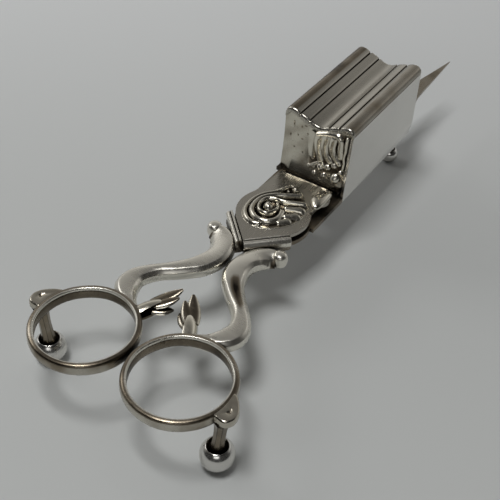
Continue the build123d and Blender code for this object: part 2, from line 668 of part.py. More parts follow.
nodes = {
    "right_finger_ring": right_of(finger_ring()),
    "right_leaf_spur": right_of(leaf_spur()),
    "right_foot_lug": right_of(foot_lug(RIGHT_FOOT_TURN)),
    "right_foot_stem": right_of(ring_stem(RIGHT_FOOT_TURN)),
    "right_foot_ball": right_of(foot_place(RIGHT_FOOT_TURN) * foot_ball(RING_BALL_R)),
    "right_scroll_handle": right_of(scroll_handle()),
    "right_scroll_knop": right_of(knop()),
    "right_shoulder_moulding": right_of(shoulder_moulding()),
    "hinge_top_plate": hinge_top_plate(),
    "shell_ornament": shell_ornament(),
    "lobe_bead": lobe_bead(),
    "pivot_rivet": pivot_rivet(),
    "pivot_washer": pivot_washer(),
    "box_floor": box_floor(),
    "box_left_wall": box_left_wall(),
    "box_front_wall": box_front_wall(),
    "box_far_wall": box_far_wall(),
    "box_top": box_top(),
    "front_leaf": front_leaf(),
    "wick_spike": wick_spike(),
    "spike_foot_stem": foot_stem(spike_foot_place(), spike_foot_place(), SPIKE_BALL_R, TOP_UNDER),
    "spike_foot_ball": spike_foot_place() * foot_ball(SPIKE_BALL_R),
    "left_finger_ring": finger_ring(),
    "left_leaf_spur": leaf_spur(),
    "left_foot_lug": foot_lug(LEFT_FOOT_TURN),
    "left_foot_stem": ring_stem(LEFT_FOOT_TURN),
    "left_foot_ball": foot_place(LEFT_FOOT_TURN) * foot_ball(RING_BALL_R),
    "left_scroll_handle": scroll_handle(),
    "left_scroll_knop": knop(),
    "left_shoulder_moulding": shoulder_moulding(),
    "hinge_lower_plate": hinge_lower_plate(),
    "pusher_plate": pusher_plate(),
    "shear_blade": shear_blade(),
}

# The finished snuffers stand on the middle of their base.
whole = Compound(children=[solid for shape in nodes.values() for solid in shape.solids()]).bounding_box()
base = Pos(-(whole.min.X + whole.max.X) / 2, -(whole.min.Y + whole.max.Y) / 2, -whole.min.Z)
os.makedirs("parts", exist_ok=True)
for name, shape in nodes.items():
    export_step(base * shape, f"parts/{name}.step")
print("size", whole.size, "pivot", base.position)
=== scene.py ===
# %% [markdown]
# # A pair of silver candle snuffers
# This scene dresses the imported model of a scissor-type snuffer: two finger rings on scroll handles, a lap hinge with a
# shell on it, and a snuff box that a polished plate closes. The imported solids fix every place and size. What follows
# adds the cast and chased detail of each piece, the silver, the table and the light.

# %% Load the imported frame
import json
from math import asin, cos, pi, radians, sin

import bmesh
import bpy
import numpy as np
from mathutils import Matrix, Vector

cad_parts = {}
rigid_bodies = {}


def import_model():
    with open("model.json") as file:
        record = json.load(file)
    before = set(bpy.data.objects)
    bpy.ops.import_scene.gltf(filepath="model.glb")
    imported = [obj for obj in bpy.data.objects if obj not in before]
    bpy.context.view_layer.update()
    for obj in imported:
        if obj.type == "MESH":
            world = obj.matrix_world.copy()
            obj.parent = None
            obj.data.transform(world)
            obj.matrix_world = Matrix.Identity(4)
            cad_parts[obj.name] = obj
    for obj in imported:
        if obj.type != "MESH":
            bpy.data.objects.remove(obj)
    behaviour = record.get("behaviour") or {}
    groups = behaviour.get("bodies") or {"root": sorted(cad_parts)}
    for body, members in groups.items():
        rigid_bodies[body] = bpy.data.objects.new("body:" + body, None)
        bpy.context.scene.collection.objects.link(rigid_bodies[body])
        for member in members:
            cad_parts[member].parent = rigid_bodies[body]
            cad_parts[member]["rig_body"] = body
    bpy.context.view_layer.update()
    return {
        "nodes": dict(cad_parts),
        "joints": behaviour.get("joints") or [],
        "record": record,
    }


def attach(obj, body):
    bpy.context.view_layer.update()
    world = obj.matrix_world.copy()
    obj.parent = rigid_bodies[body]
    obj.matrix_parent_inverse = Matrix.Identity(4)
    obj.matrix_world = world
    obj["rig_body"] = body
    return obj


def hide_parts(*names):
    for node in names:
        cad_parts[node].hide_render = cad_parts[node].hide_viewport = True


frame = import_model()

# %% [markdown]
# ## Working in millimetres about the pivot
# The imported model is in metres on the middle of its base, but a snuffer is laid out from its rivet. So every point
# below is written in millimetres from the rivet's axis on the table, and one function carries it into the frame.

# %% Millimetres about the pivot
MM = 0.001
hinge_place = frame["joints"][0]["pos_m"]
PIVOT = np.array([hinge_place[0], hinge_place[1], 0.0]) / MM


def in_frame(points):
    """Points in millimetres about the pivot, as metres in the frame."""
    return (np.asarray(points, float).reshape(-1, 3) + PIVOT) * MM


print("pivot at", PIVOT, "mm in the frame")

# %% [markdown]
# ## The camera
# The photograph looks down over the finger rings towards the box. The ellipses of the two equal rings, the level top
# and the three feet on one table give the lens and the place of the camera, so it is set by numbers and not by eye.

# %% Camera at the photograph's angle
CAMERA_AT = (-168.651, -95.353, 176.876)
CAMERA_HEADING = radians(31.153)
CAMERA_DIP = radians(41.502)
CAMERA_ROLL = radians(3.0945)
FOCAL_PIXELS = 946.118
FRAME_PIXELS = 500
SENSOR = 36.0

ahead = Vector((cos(CAMERA_HEADING) * cos(CAMERA_DIP), sin(CAMERA_HEADING) * cos(CAMERA_DIP), -sin(CAMERA_DIP)))
level = ahead.cross(Vector((0, 0, 1))).normalized()
below = ahead.cross(level)
across = cos(CAMERA_ROLL) * level - sin(CAMERA_ROLL) * below
upward = -(sin(CAMERA_ROLL) * level + cos(CAMERA_ROLL) * below)
camera = bpy.data.objects.new("camera", bpy.data.cameras.new("camera"))
camera.data.sensor_width = SENSOR
camera.data.lens = FOCAL_PIXELS / FRAME_PIXELS * SENSOR
camera.data.clip_start = 0.01
turn = Matrix((across, upward, -ahead)).transposed()
camera.matrix_world = Matrix.Translation(in_frame(CAMERA_AT)[0]) @ turn.to_4x4()
bpy.context.scene.collection.objects.link(camera)
bpy.context.scene.camera = camera
print("camera lens", round(camera.data.lens, 2), "mm")

# %% [markdown]
# ## Writing a finish as sums
# A material is a small drawing of nodes. Wiring each Math node by hand hides the idea, so a wire here knows plus,
# minus and times: `1 - mask` adds the node for it. Everything else comes from one method, `node`.

# %% A bench for finishes
class Wire:
    """A node's output that can be used in sums."""

    def __init__(self, bench, socket):
        self.bench = bench
        self.socket = socket

    def maths(self, operation, first, second):
        return self.bench.node("ShaderNodeMath", {"operation": operation}, {0: first, 1: second})

    def __add__(self, other):
        return self.maths("ADD", self, other)

    def __sub__(self, other):
        return self.maths("SUBTRACT", self, other)

    def __rsub__(self, other):
        return self.maths("SUBTRACT", other, self)

    def __mul__(self, other):
        return self.maths("MULTIPLY", self, other)

    __radd__ = __add__
    __rmul__ = __mul__

    def between(self, low, high):
        """0 at the low value, 1 at the high one, and smooth on the way."""
        span = {"From Min": low, "From Max": high}
        return self.bench.node("ShaderNodeMapRange", {"interpolation_type": "SMOOTHSTEP"}, {"Value": self, **span})


class Bench:
    """The node tree of one material or of the world."""

    def __init__(self, owner):
        owner.use_nodes = True
        self.owner = owner
        self.tree = owner.node_tree
        self.tree.nodes.clear()

    def node(self, kind, settings=None, inputs=None, output=0):
        made = self.tree.nodes.new(kind)
        for key, value in (settings or {}).items():
            if key == "stops":
                self.set_stops(made.color_ramp, value)
            else:
                setattr(made, key, value)
        for key, value in (inputs or {}).items():
            if isinstance(value, Wire):
                self.tree.links.new(value.socket, made.inputs[key])
            else:
                made.inputs[key].default_value = value
        if not made.outputs:
            return made
        return Wire(self, made.outputs[output])

    def set_stops(self, ramp, stops):
        while len(ramp.elements) < len(stops):
            ramp.elements.new(1.0)
        for element, (place, colour) in zip(ramp.elements, stops):
            element.position = place
            element.color = (*colour, 1.0)


print("bench ready")

# %% [markdown]
# ## Old silver
# Silver is a near-white mirror, and its looks come from what wear has done to it. Handling leaves hairline scratches
# and a soft bloom. Sulphur in the air turns the recesses straw, then brown, then black, and polishing leaves them so.
# The recesses are found in two ways. Ambient occlusion sees every crease between pieces and near the table, and
# darkens it with tarnish and painted shade alike. Most pieces also carry their own `hollow` value on the
# mesh, for how deep or how dull each point is, and on some pieces for painted shade and shadow. One ramp then turns
# the sum into a colour, from clean metal through straw to soot.

# %% Silver finishes
STRAW = (0.25, 0.212, 0.16)
SOOT = (0.02, 0.016, 0.012)


def silver(name, tone, shine, bloom, stain, crease, grain):
    """Silver of a tone. Shine is its roughness, crease how far corners darken, grain the way of its brush lines."""
    bench = Bench(bpy.data.materials.new(name))
    place = bench.node("ShaderNodeTexCoord", output="Object")
    streaks = bench.node("ShaderNodeMapping", None, {"Vector": place, "Scale": grain})
    hollow = bench.node("ShaderNodeAttribute", {"attribute_name": "hollow"}, output="Fac")
    open_sky = bench.node("ShaderNodeAmbientOcclusion", {"samples": 6}, {"Distance": crease}, output="AO")
    clouds = bench.node("ShaderNodeTexNoise", None, {"Vector": place, "Scale": 110.0, "Detail": 4.0})
    specks = bench.node("ShaderNodeTexNoise", None, {"Vector": place, "Scale": 1300.0, "Detail": 3.0, "Roughness": 0.6})
    brush = bench.node("ShaderNodeTexNoise", None, {"Vector": streaks, "Scale": 1100.0, "Detail": 2.0})
    # Ambient occlusion darkens creases, gaps between pieces and parts near the table: tarnish and painted shade.
    crease_tarnish_and_shade = (1 - open_sky).between(0.17, 0.65)
    pits = specks.between(0.66, 0.76)
    # The sum holds stains and pits, and the tarnish and painted shade of creases and of each point's own value.
    tarnish_and_shade_sum = crease_tarnish_and_shade + hollow * (0.5 + clouds) + clouds.between(0.5, 0.85) * stain + pits * stain
    stops = [(0.0, tone), (0.3, tuple(0.86 * c for c in tone)), (0.6, STRAW), (1.0, SOOT)]
    colour = bench.node("ShaderNodeValToRGB", {"stops": stops}, {"Fac": tarnish_and_shade_sum})
    rough = shine + clouds.between(0.35, 0.75) * bloom + brush.between(0.45, 0.7) * bloom + crease_tarnish_and_shade * 0.15
    relief = brush + specks * stain - pits * stain
    normal = bench.node("ShaderNodeBump", None, {"Strength": 0.1, "Distance": 0.00003, "Height": relief})
    metal = bench.node("ShaderNodeBsdfPrincipled", None, {
        "Base Color": colour, "Metallic": 1.0, "Roughness": rough, "Normal": normal})
    bench.node("ShaderNodeOutputMaterial", None, {"Surface": metal})
    print("finish", name)
    return bench.owner


CROSSWISE = (1.4, 0.3, 1.4)
LENGTHWISE = (0.12, 1.6, 1.6)
finishes = {
    "worn_silver": silver(
        "worn_silver", (0.79, 0.76, 0.68), shine=0.26, bloom=0.05, stain=0.16, crease=0.0026, grain=CROSSWISE),
    "satin_silver": silver(
        "satin_silver", (0.47, 0.445, 0.39), shine=0.25, bloom=0.05, stain=0.2, crease=0.0018, grain=LENGTHWISE),
    "polished_silver": silver(
        "polished_silver", (0.69, 0.675, 0.64), shine=0.19, bloom=0.04, stain=0.1, crease=0.002, grain=LENGTHWISE),
    "chased_silver": silver(
        "chased_silver", (0.73, 0.69, 0.59), shine=0.19, bloom=0.05, stain=0.14, crease=0.0013, grain=CROSSWISE),
    "hinge_metal": silver(
        "hinge_metal", (0.36, 0.35, 0.33), shine=0.36, bloom=0.08, stain=0.3, crease=0.0018, grain=CROSSWISE),
}

# %% [markdown]
# ## From rings of points to a piece
# Nearly everything here can be drawn as a row of closed rings with a skin over them: a turned ball, a swept moulding,
# a scroll that swells along its way. A chased sheet fits too, when each ring runs out along the front and home along
# the back. So one skinning function serves all the pieces, and the work goes into the rings.

# %% Skins
def skin(rings, loop=False):
    """Points and faces over a row of closed rings. A loop joins the last ring to the first."""
    rings = np.asarray(rings, float)
    rows, around = rings.shape[:2]
    faces = []
    for row in range(rows if loop else rows - 1):
        above = (row + 1) % rows
        for spot in range(around):
            beside = (spot + 1) % around
            faces.append((row * around + spot, row * around + beside, above * around + beside, above * around + spot))
    if not loop:
        faces.append(tuple(reversed(range(around))))
        faces.append(tuple(range((rows - 1) * around, rows * around)))
    return rings.reshape(-1, 3), faces


print("a skin over 3 squares has", len(skin(np.zeros((3, 4, 3)))[1]), "faces")

# %% [markdown]
# ## Joining the frame
# Every new mesh has to ride one of the two arms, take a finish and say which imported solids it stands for. Doing that in
# one place means that no piece can forget it. Faces meeting at less than the sharp angle are shaded as one surface.

# %% Pieces
SHARP = radians(42)


def add_piece(name, shape, body, slot, stands_for, hollow=None):
    """A new mesh that rides a body, takes a finish and stands for some of the solids."""
    points, faces = shape
    mesh = bpy.data.meshes.new(name)
    mesh.from_pydata([tuple(p) for p in in_frame(points)], [], faces)
    tidy = bmesh.new()
    tidy.from_mesh(mesh)
    bmesh.ops.recalc_face_normals(tidy, faces=tidy.faces)
    tidy.to_mesh(mesh)
    tidy.free()
    mesh.shade_smooth()
    mesh.set_sharp_from_angle(angle=SHARP)
    if hollow is not None:
        depth = mesh.attributes.new("hollow", "FLOAT", "POINT")
        depth.data.foreach_set("value", np.asarray(hollow, np.float32).ravel())
    piece = bpy.data.objects.new(name, mesh)
    bpy.context.scene.collection.objects.link(piece)
    mesh.materials.append(finishes[slot])
    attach(piece, body)
    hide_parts(*stands_for)
    print(name, len(mesh.vertices), "points")
    return piece


print("sharp edges from", round(np.degrees(SHARP)), "degrees")

# %% [markdown]
# ## Smooth lines
# A maker sets out a curve by a few points and lets a bent strip find the rest. The Catmull-Rom spline does the same: it
# passes through every given point. Blender's own curves would do too, but numbers can be swept, measured and mirrored.

# %% Smooth lines
def smooth_line(points, steps, closed=False):
    """Points along a smooth line through a few given ones."""
    points = np.asarray(points, float)
    if closed:
        held = np.vstack([points[-1], points, points[0], points[1]])
    else:
        held = np.vstack([2 * points[0] - points[1], points, 2 * points[-1] - points[-2]])
    spans = len(held) - 3
    line = []
    for place in np.linspace(0, spans, steps, endpoint=not closed):
        span = min(int(place), spans - 1)
        t = place - span
        a, b, c, d = held[span:span + 4]
        line.append(0.5 * (2 * b + (c - a) * t + (2 * a - 5 * b + 4 * c - d) * t ** 2
                           + (3 * b - a - 3 * c + d) * t ** 3))
    return np.array(line)


print("halfway along a bend:", smooth_line([(0, 0), (1, 1), (2, 0)], 3)[1])

# %% [markdown]
# ## Left and right
# The two handles are mirror images, apart from the places of their feet. A side is therefore just a sign for Y and the
# body that the handle belongs to: the right one carries the box, and the left one the pusher plate.

# %% The two handles
SIDES = {"left": (1, "pusher_arm"), "right": (-1, "box_arm")}
DECK = 19.5
RING_AT = np.array([-59.8, 13.5])


def mirrored(points, side):
    """Points of the left handle, or their mirror image for the right."""
    return np.asarray(points, float) * np.array([1, SIDES[side][0], 1])


print("sides", SIDES)

# %% [markdown]
# ## Finger rings
# Each ring is a cast band with a flat rim, a smooth outer wall and a thin line engraved inside near the top. A torus
# would be too round, so a section is drawn and carried round the ring. A slow wave of a few hundredths of a millimetre
# keeps the hand-filed look. Fingers have dulled the rim and the outside, and the inside has gone brown.

# %% Finger rings
RING_SECTION = [
    (11.66, 16.3), (11.85, 16.1), (12.4, 16.1), (12.85, 16.35), (13.12, 16.85), (13.24, 17.5), (13.22, 18.2),
    (13.14, 18.75), (13.0, 19.1), (12.84, 19.3), (12.66, 19.4), (12.2, 19.47), (11.98, 19.5), (11.84, 19.46),
    (11.74, 19.32), (11.66, 19.0), (11.64, 18.82), (11.8, 18.68), (11.66, 18.52), (11.62, 17.8), (11.61, 17.0),
]
RING_STEPS = 180
GROOVE_Z, RING_INSIDE = 18.68, 11.7
RIM_FROM, RIM_TO, RIM_Z = 12.1, 13.1, 19.0


def ring_tarnish(r, z):
    """Dark in the engraved line and inside below it, and dull on the rim and the outside."""
    groove = 0.7 * (abs(z - GROOVE_Z) < 0.02)
    inside = 0.75 * (r < RING_INSIDE and z < GROOVE_Z - 0.08)
    dull = 0.45 * (r > RIM_FROM) + 0.22 * (RIM_FROM < r < RIM_TO and z > RIM_Z)
    return groove + inside + dull


def finger_ring(side):
    rings = []
    for step in range(RING_STEPS):
        way = 2 * pi * step / RING_STEPS
        wave = 0.04 * sin(3 * way + 1) + 0.02 * sin(7 * way)
        rings.append([(RING_AT[0] + (r + wave) * cos(way), RING_AT[1] + (r + wave) * sin(way), z + wave)
                      for r, z in RING_SECTION])
    hollow = np.tile([ring_tarnish(r, z) for r, z in RING_SECTION], RING_STEPS)
    points, faces = skin(rings, loop=True)
    return add_piece(f"{side}_cast_finger_ring", (mirrored(points, side), faces), SIDES[side][1], "worn_silver",
                     [f"{side}_finger_ring"], hollow)


for side in SIDES:
    finger_ring(side)

# %% [markdown]
# ## Lugs
# A tongue grows out of each ring to carry its foot: long and tapering towards the box, blunt at the back, with a worn
# dimple over the stem. Its outline is given round the ring, as radius and turn from the foot, and rings of that
# outline are shrunk and lifted to round its edges and sink the dimple.

# %% Lugs
FOOT_TURN = {"left": 90.0, "right": 103.0}
LUG_OUTLINE = [
    (12.4, -27), (13.5, -25.5), (15.0, -17), (16.2, -9.5), (16.65, -1.5), (15.8, 5.5), (13.7, 8.0), (12.4, 7.6),
    (12.3, -10),
]
LUG_MIDDLE = (14.6, -5.0)
LUG_STEPS = 64
DIMPLE = 0.22
LUG_LAYERS = [
    (0.05, 17.15), (0.8, 17.15), (0.94, 17.22), (1.0, 17.45), (1.0, 18.5), (0.985, 18.85), (0.95, 19.1),
    (0.9, 19.26), (0.84, 19.34), (0.78, 19.355), (0.26, 19.36), (0.22, 19.33), (0.18, 19.25), (0.1, 19.12),
    (0.02, 19.1),
]


def round_ring(spots, turn):
    """Plan points from radius and turn round the left ring."""
    spots = np.asarray(spots, float)
    way = np.radians(spots[:, 1] + turn)
    return np.stack([RING_AT[0] + spots[:, 0] * np.cos(way), RING_AT[1] + spots[:, 0] * np.sin(way)], 1)


def layered(outline, middle, layers):
    """Rings of an outline, shrunk towards its middle and lifted layer by layer."""
    rings = []
    for share, z in layers:
        plan = middle + (outline - middle) * share
        rings.append(np.column_stack([plan, np.full(len(plan), z)]))
    return rings


def foot_lug(side):
    outline = smooth_line(round_ring(LUG_OUTLINE, FOOT_TURN[side]), LUG_STEPS, closed=True)
    middle = round_ring([LUG_MIDDLE], FOOT_TURN[side])[0]
    points, faces = skin(layered(outline, middle, LUG_LAYERS))
    stain = [0.6 if share < DIMPLE and z > DECK - 1 else 0.42 for share, z in LUG_LAYERS]
    add_piece(f"{side}_cast_lug", (mirrored(points, side), faces), SIDES[side][1], "chased_silver",
              [f"{side}_foot_lug"], np.repeat(stain, LUG_STEPS))


for side in SIDES:
    foot_lug(side)

# %% [markdown]
# ## Feet
# A foot is a stem with eight filed flats that flares at both ends, and it stands in a dark dish on top of a polished
# ball. Both start as turned shapes, so their profiles are lists of radius and height. The flats come from the stem's
# radius, which is divided round the stem by the cosine of the turn from the middle of each flat. The dish is darkened
# with tarnish and painted shade under the stem, and the stem all over with painted shade and tarnish, most along the
# corners of its flats.

# %% Ball feet
TURN_STEPS = 64
FLATS = 8
BALL_FLAT = 0.15
COLLAR_TURN = radians(48)
DISH_SHADE_AND_TARNISH = [0.2, 0.55, 0.75, 0.8]
STEM_SHARES = [
    (0.0, 2.0), (0.06, 1.85), (0.16, 1.66), (0.35, 1.52), (0.6, 1.5), (0.8, 1.64), (0.92, 1.88), (1.0, 2.2),
]
ROUND = np.linspace(0, 2 * pi, TURN_STEPS, endpoint=False)
BALL_OUT, HEAD_OUT = 12.45, 13.75
RING_BALL, LUG_UNDER = 4.1, 17.2
SPIKE_FOOT_AT = (64.4, -4.0)
SPIKE_BALL, SPIKE_UNDER = 2.75, 18.5


def turned(profile, foot, head=None, swell=1.0):
    """Rings of a turned piece from radius and height. With a head, its axis leans from the foot to it."""
    foot = np.asarray(foot, float)
    head = foot if head is None else np.asarray(head, float)
    low, high = profile[0][1], profile[-1][1]
    rings = []
    for r, z in profile:
        x, y = foot + (head - foot) * (z - low) / (high - low)
        reach = r * swell
        rings.append(np.column_stack([x + reach * np.cos(ROUND), y + reach * np.sin(ROUND), np.full(TURN_STEPS, z)]))
    return rings


def ball_profile(radius, flat):
    """Ball on its worn flat, with a dished collar on top, and the height of the dish."""
    middle = radius - flat
    low = asin((radius - flat) / radius)
    body = [(radius * cos(a), middle + radius * sin(a)) for a in np.linspace(-low, COLLAR_TURN, 34)]
    rim_r, rim_z = body[-1]
    sink = 0.17 * radius
    collar = [(rim_r - 0.12, rim_z + 0.04), (0.9 * rim_r, rim_z - 0.1), (0.82 * rim_r, rim_z - 0.6 * sink),
              (0.7 * rim_r, rim_z - sink), (0.02, rim_z - 1.05 * sink)]
    return [(0.02, 0.0)] + body + collar, rim_z - sink


def foot(names, foot_at, head_at, radius, top, body):
    profile, seat = ball_profile(radius, BALL_FLAT)
    # The dish under the stem is darkened with tarnish and painted shade.
    dish = [0.0] * (len(profile) - len(DISH_SHADE_AND_TARNISH)) + DISH_SHADE_AND_TARNISH
    add_piece(names[0] + "_turned", skin(turned(profile, foot_at)), body, "polished_silver", [names[0]],
              np.repeat(dish, TURN_STEPS))
    size = min(1.0, radius / 3.6)
    stem = [(r * size, seat + (top - seat) * share) for share, r in smooth_line(STEM_SHARES, 26)]
    step = 2 * pi / FLATS
    facets = cos(step / 2) / np.cos(ROUND % step - step / 2)
    # The stem is darkened all over with painted shade and tarnish, most on the corners of its flats.
    stem_shade_and_corner_lines = np.where(np.isclose(ROUND % step, 0) | np.isclose(ROUND % step, step), 0.95, 0.65)
    add_piece(names[1] + "_filed", skin(turned(stem, foot_at, head_at, facets)), body, "polished_silver", [names[1]],
              np.tile(stem_shade_and_corner_lines, len(stem)))


for side in SIDES:
    spots = round_ring([(BALL_OUT, 0.0), (HEAD_OUT, 0.0)], FOOT_TURN[side])
    ball_at, head_at = spots * np.array([1, SIDES[side][0]])
    foot((f"{side}_foot_ball", f"{side}_foot_stem"), ball_at, head_at, RING_BALL, LUG_UNDER, SIDES[side][1])
foot(("spike_foot_ball", "spike_foot_stem"), SPIKE_FOOT_AT, SPIKE_FOOT_AT, SPIKE_BALL, SPIKE_UNDER, "box_arm")

# %% [markdown]
# ## Scroll handles
# The handles are cast S-scrolls that swell in their bends and narrow at the waist. A bevelled curve would keep one
# width, so the scroll is a row of sections instead, each turned to the way of the line and scaled to its own width: a
# crowned top with filed bevels and a plain underside. Towards the knop the top falls away on one side, and in the bend
# it leans a little, so that it catches the light. The right handle has a dark mark at its waist.

# %% Scroll handles
SCROLL_STATIONS = [  # x, y, width
    (-13.1, 9.2, 4.6), (-13.9, 7.4, 5.7), (-16.0, 5.1, 6.5), (-19.2, 3.75, 6.5), (-22.7, 3.7, 6.4),
    (-26.0, 4.9, 6.0), (-28.6, 6.7, 5.2), (-31.2, 9.1, 4.6), (-33.7, 11.7, 4.2), (-36.2, 13.8, 4.6),
    (-39.3, 15.3, 5.5), (-42.6, 15.0, 6.0), (-45.4, 12.9, 4.8), (-47.0, 10.4, 3.0), (-47.9, 8.2, 1.6),
]
SCROLL_MIDDLE = 16.9
SCROLL_STEPS = 120
RING_HOLD = 12.4
LEAN = {"left": -0.2, "right": 0.18}
MARK_AT = 57


def scroll_section(width, dip, lean):
    """Across and up, round a section with a flat top and filed bevels. Dip and lean lower one side or the other."""
    half = width / 2
    bevel = min(0.95, 0.36 * width)
    top = [(half, 0.75), (half - 0.1 * bevel, 0.98), (half - 0.9 * bevel, 1.78), (half - 1.05 * bevel, 1.89)]
    over = top + [(half - 1.3 * bevel, 1.94), (0.35 * half, 2.03), (0.0, 2.06)]
    over += [(-x, z) for x, z in reversed(over[:-1])]
    under = [(-half, -0.9), (-half + 0.8 * bevel, -1.8), (half - 0.8 * bevel, -1.8), (half, -0.9)]
    section = np.array(over + under)
    section[:, 1] -= dip * np.clip(0.3 - section[:, 0] / half, 0, 1.3) * (section[:, 1] > 0)
    section[:, 1] -= lean * section[:, 0] * (section[:, 1] > 0)
    return section[:, 0], section[:, 1]


def scroll_handle(side):
    line = smooth_line(SCROLL_STATIONS, SCROLL_STEPS)
    ways = np.gradient(line[:, :2], axis=0)
    ways /= np.linalg.norm(ways, axis=1)[:, None]
    rings, hollow = [], []
    for spot, ((x, y, width), (along_x, along_y)) in enumerate(zip(line, ways)):
        curl = np.exp(-(spot / 16) ** 2)
        lean = LEAN[side] * np.exp(-((spot - 22) / 14) ** 2)
        out, up = scroll_section(width, 1.25 * curl, lean)
        plan = np.column_stack([x - out * along_y, y + out * along_x])
        reach = np.linalg.norm(plan - RING_AT, axis=1)
        plan = RING_AT + (plan - RING_AT) * (np.maximum(reach, RING_HOLD) / reach)[:, None]
        rings.append(np.column_stack([plan, SCROLL_MIDDLE + up]))
        neck = 1.1 * np.exp(-(spot / 6) ** 2) * np.clip(-2 * out / width - 0.1, 0, 1)
        mark = np.exp(-((spot - MARK_AT) / 15) ** 4) * np.exp(-((2 * out / width + 0.12) / 0.5) ** 2)
        hollow.append(neck + mark * (up > 1.5) * (side == "right"))
    points, faces = skin(rings)
    add_piece(f"{side}_cast_scroll", (mirrored(points, side), faces), SIDES[side][1], "worn_silver",
              [f"{side}_scroll_handle"], np.concatenate(hollow))


for side in SIDES:
    scroll_handle(side)

# %% [markdown]
# ## Knops
# Each scroll ends in a rolled knop, a plain domed bead that the scroll curls into. It is turned like the feet, from a
# profile with full shoulders, because a sphere would look like a ball stuck to the end.

# %% Knops
KNOP_AT = np.array([-12.6, 10.02])
KNOP_PROFILE = [
    (0.02, 15.0), (1.0, 15.02), (1.5, 15.3), (1.8, 15.8), (1.98, 16.6), (2.0, 17.4), (1.9, 18.1), (1.65, 18.65),
    (1.25, 19.0), (0.7, 19.15), (0.02, 19.2),
]

for side in SIDES:
    rings = turned(smooth_line(KNOP_PROFILE, 44), KNOP_AT * np.array([1, SIDES[side][0]]))
    add_piece(f"{side}_rolled_knop", skin(rings), SIDES[side][1], "worn_silver", [f"{side}_scroll_knop"])

# %% [markdown]
# ## Leaf spurs
# Between the rings two small acanthus leaves reach towards each other. Each is a leaf curled into an open gutter, with
# lobes that spread from its end. A pipe would have no rims, so each section runs round the back of the leaf from rim to
# rim, and home along the inside, which is painted dark as shade, as is the lower half of the back.

# %% Curled leaf
SPUR_TURN = radians(-29.0)
RIB_FROM, RIB_TO = 12.5, 20.6
CURL_STEPS = 16


def beside_rib(along, side, up):
    """A point from its place along the left rib, towards the other ring, and its height."""
    return (RING_AT[0] + along * cos(SPUR_TURN) + side * sin(SPUR_TURN),
            RING_AT[1] + along * sin(SPUR_TURN) - side * cos(SPUR_TURN), up)


def rib_rings():
    """Rings across the curled leaf: round its back from rim to rim, and home inside, painted dark as shade."""
    rings, hollow = [], []
    for share in np.linspace(0, 1, 32):
        radius = (1.75 + 0.35 * sin(pi * share)) * (1 - 0.45 * share ** 3)
        rims = radians(48 + 25 * share), radians(296 - 20 * share)
        curl = np.linspace(*rims, CURL_STEPS)
        edge = 0.14 * (np.exp(-((curl - rims[0]) / 0.3) ** 2) + np.exp(-((curl - rims[1]) / 0.3) ** 2))
        back = np.column_stack([np.cos(curl), np.sin(curl)]) * (radius + edge)[:, None]
        inside = np.column_stack([np.cos(curl), np.sin(curl)])[::-1] * (radius - 0.45)
        along = RIB_FROM + (RIB_TO - RIB_FROM) * share
        rings.append([beside_rib(along, side, 17.0 + 0.5 * share + up) for side, up in np.vstack([back, inside])])
        # The inside and the lower half of the back are painted dark as shade.
        hollow.append(np.concatenate([np.where(np.sin(curl) < 0.1, 0.6, 0.1), np.full(CURL_STEPS, 1.0)]))
    return rings, hollow


print("curled leaf of", len(rib_rings()[0]), "sections")

# %% [markdown]
# ## Lobes of the leaf
# Three pointed lobes grow out of the curl, two of them rising. Each follows a bent line from its start to its tip, with
# an oval section that is widest near the start. They are painted dark below as shade, and darkened along the top of
# the middle. The curl and its lobes are joined into one mesh.

# %% Leaf spurs
LOBES = [  # start, bend and tip: along the leaf, towards the other ring, and height; half width
    ((17.0, -0.7, 17.9), (21.6, -0.5, 18.3), (24.8, 0.0, 20.0), 1.8),
    ((17.4, 0.3, 18.1), (20.8, 1.1, 18.5), (23.0, 1.8, 19.5), 1.55),
    ((16.6, 0.2, 16.9), (19.2, 1.8, 16.7), (21.0, 2.8, 17.2), 1.6),
]
LOBE_STEPS = 14
LOBE_SIDES = 12


def lobe_rings(start, bend, tip, half):
    """A pointed lobe along a bent line, with painted shade on its underside."""
    start, bend, tip = (np.array(p) for p in (start, bend, tip))
    rings, hollow = [], []
    for share in np.linspace(0, 1, LOBE_STEPS):
        middle = (1 - share) ** 2 * start + 2 * share * (1 - share) * bend + share ** 2 * tip
        way = (1 - share) * (bend - start) + share * (tip - bend)
        across = np.cross(way, (0, 0, 1))
        across /= np.linalg.norm(across)
        lift = np.cross(across, way / np.linalg.norm(way))
        wide = half * sin(pi * (0.3 + 0.66 * share)) ** 0.8
        around = np.linspace(0, 2 * pi, LOBE_SIDES, endpoint=False)
        spots = middle + np.outer(wide * np.cos(around), across) + np.outer((0.06 + 0.4 * wide) * np.sin(around), lift)
        rings.append([beside_rib(*spot) for spot in spots])
        # Painted shade on the underside, and darker along the top of the middle.
        hollow.append(np.where(np.sin(around) < -0.2, 1.0, 0.7 * np.clip(np.sin(around), 0, 1)))
    return rings, hollow


def leaf_spur(side):
    points, faces, hollow = [], [], []
    for rings, stain in [rib_rings()] + [lobe_rings(*lobe) for lobe in LOBES]:
        more, loops = skin(rings)
        faces += [tuple(number + len(points) for number in loop) for loop in loops]
        points += [tuple(p) for p in more]
        hollow.append(np.concatenate(stain))
    add_piece(f"{side}_acanthus_spur", (mirrored(points, side), faces), SIDES[side][1], "chased_silver",
              [f"{side}_leaf_spur"], np.concatenate(hollow))


for side in SIDES:
    leaf_spur(side)

# %% [markdown]
# ## Shoulder mouldings
# Behind the hinge plates each arm ends in a straight moulding: a fine bead, a quirk, and a bold roll that hollows
# towards its foot. The section is swept straight along the shoulder and drawn in a little at the outer end to round it.
# The quirk is stained, and the face under the roll is painted dark as shade.

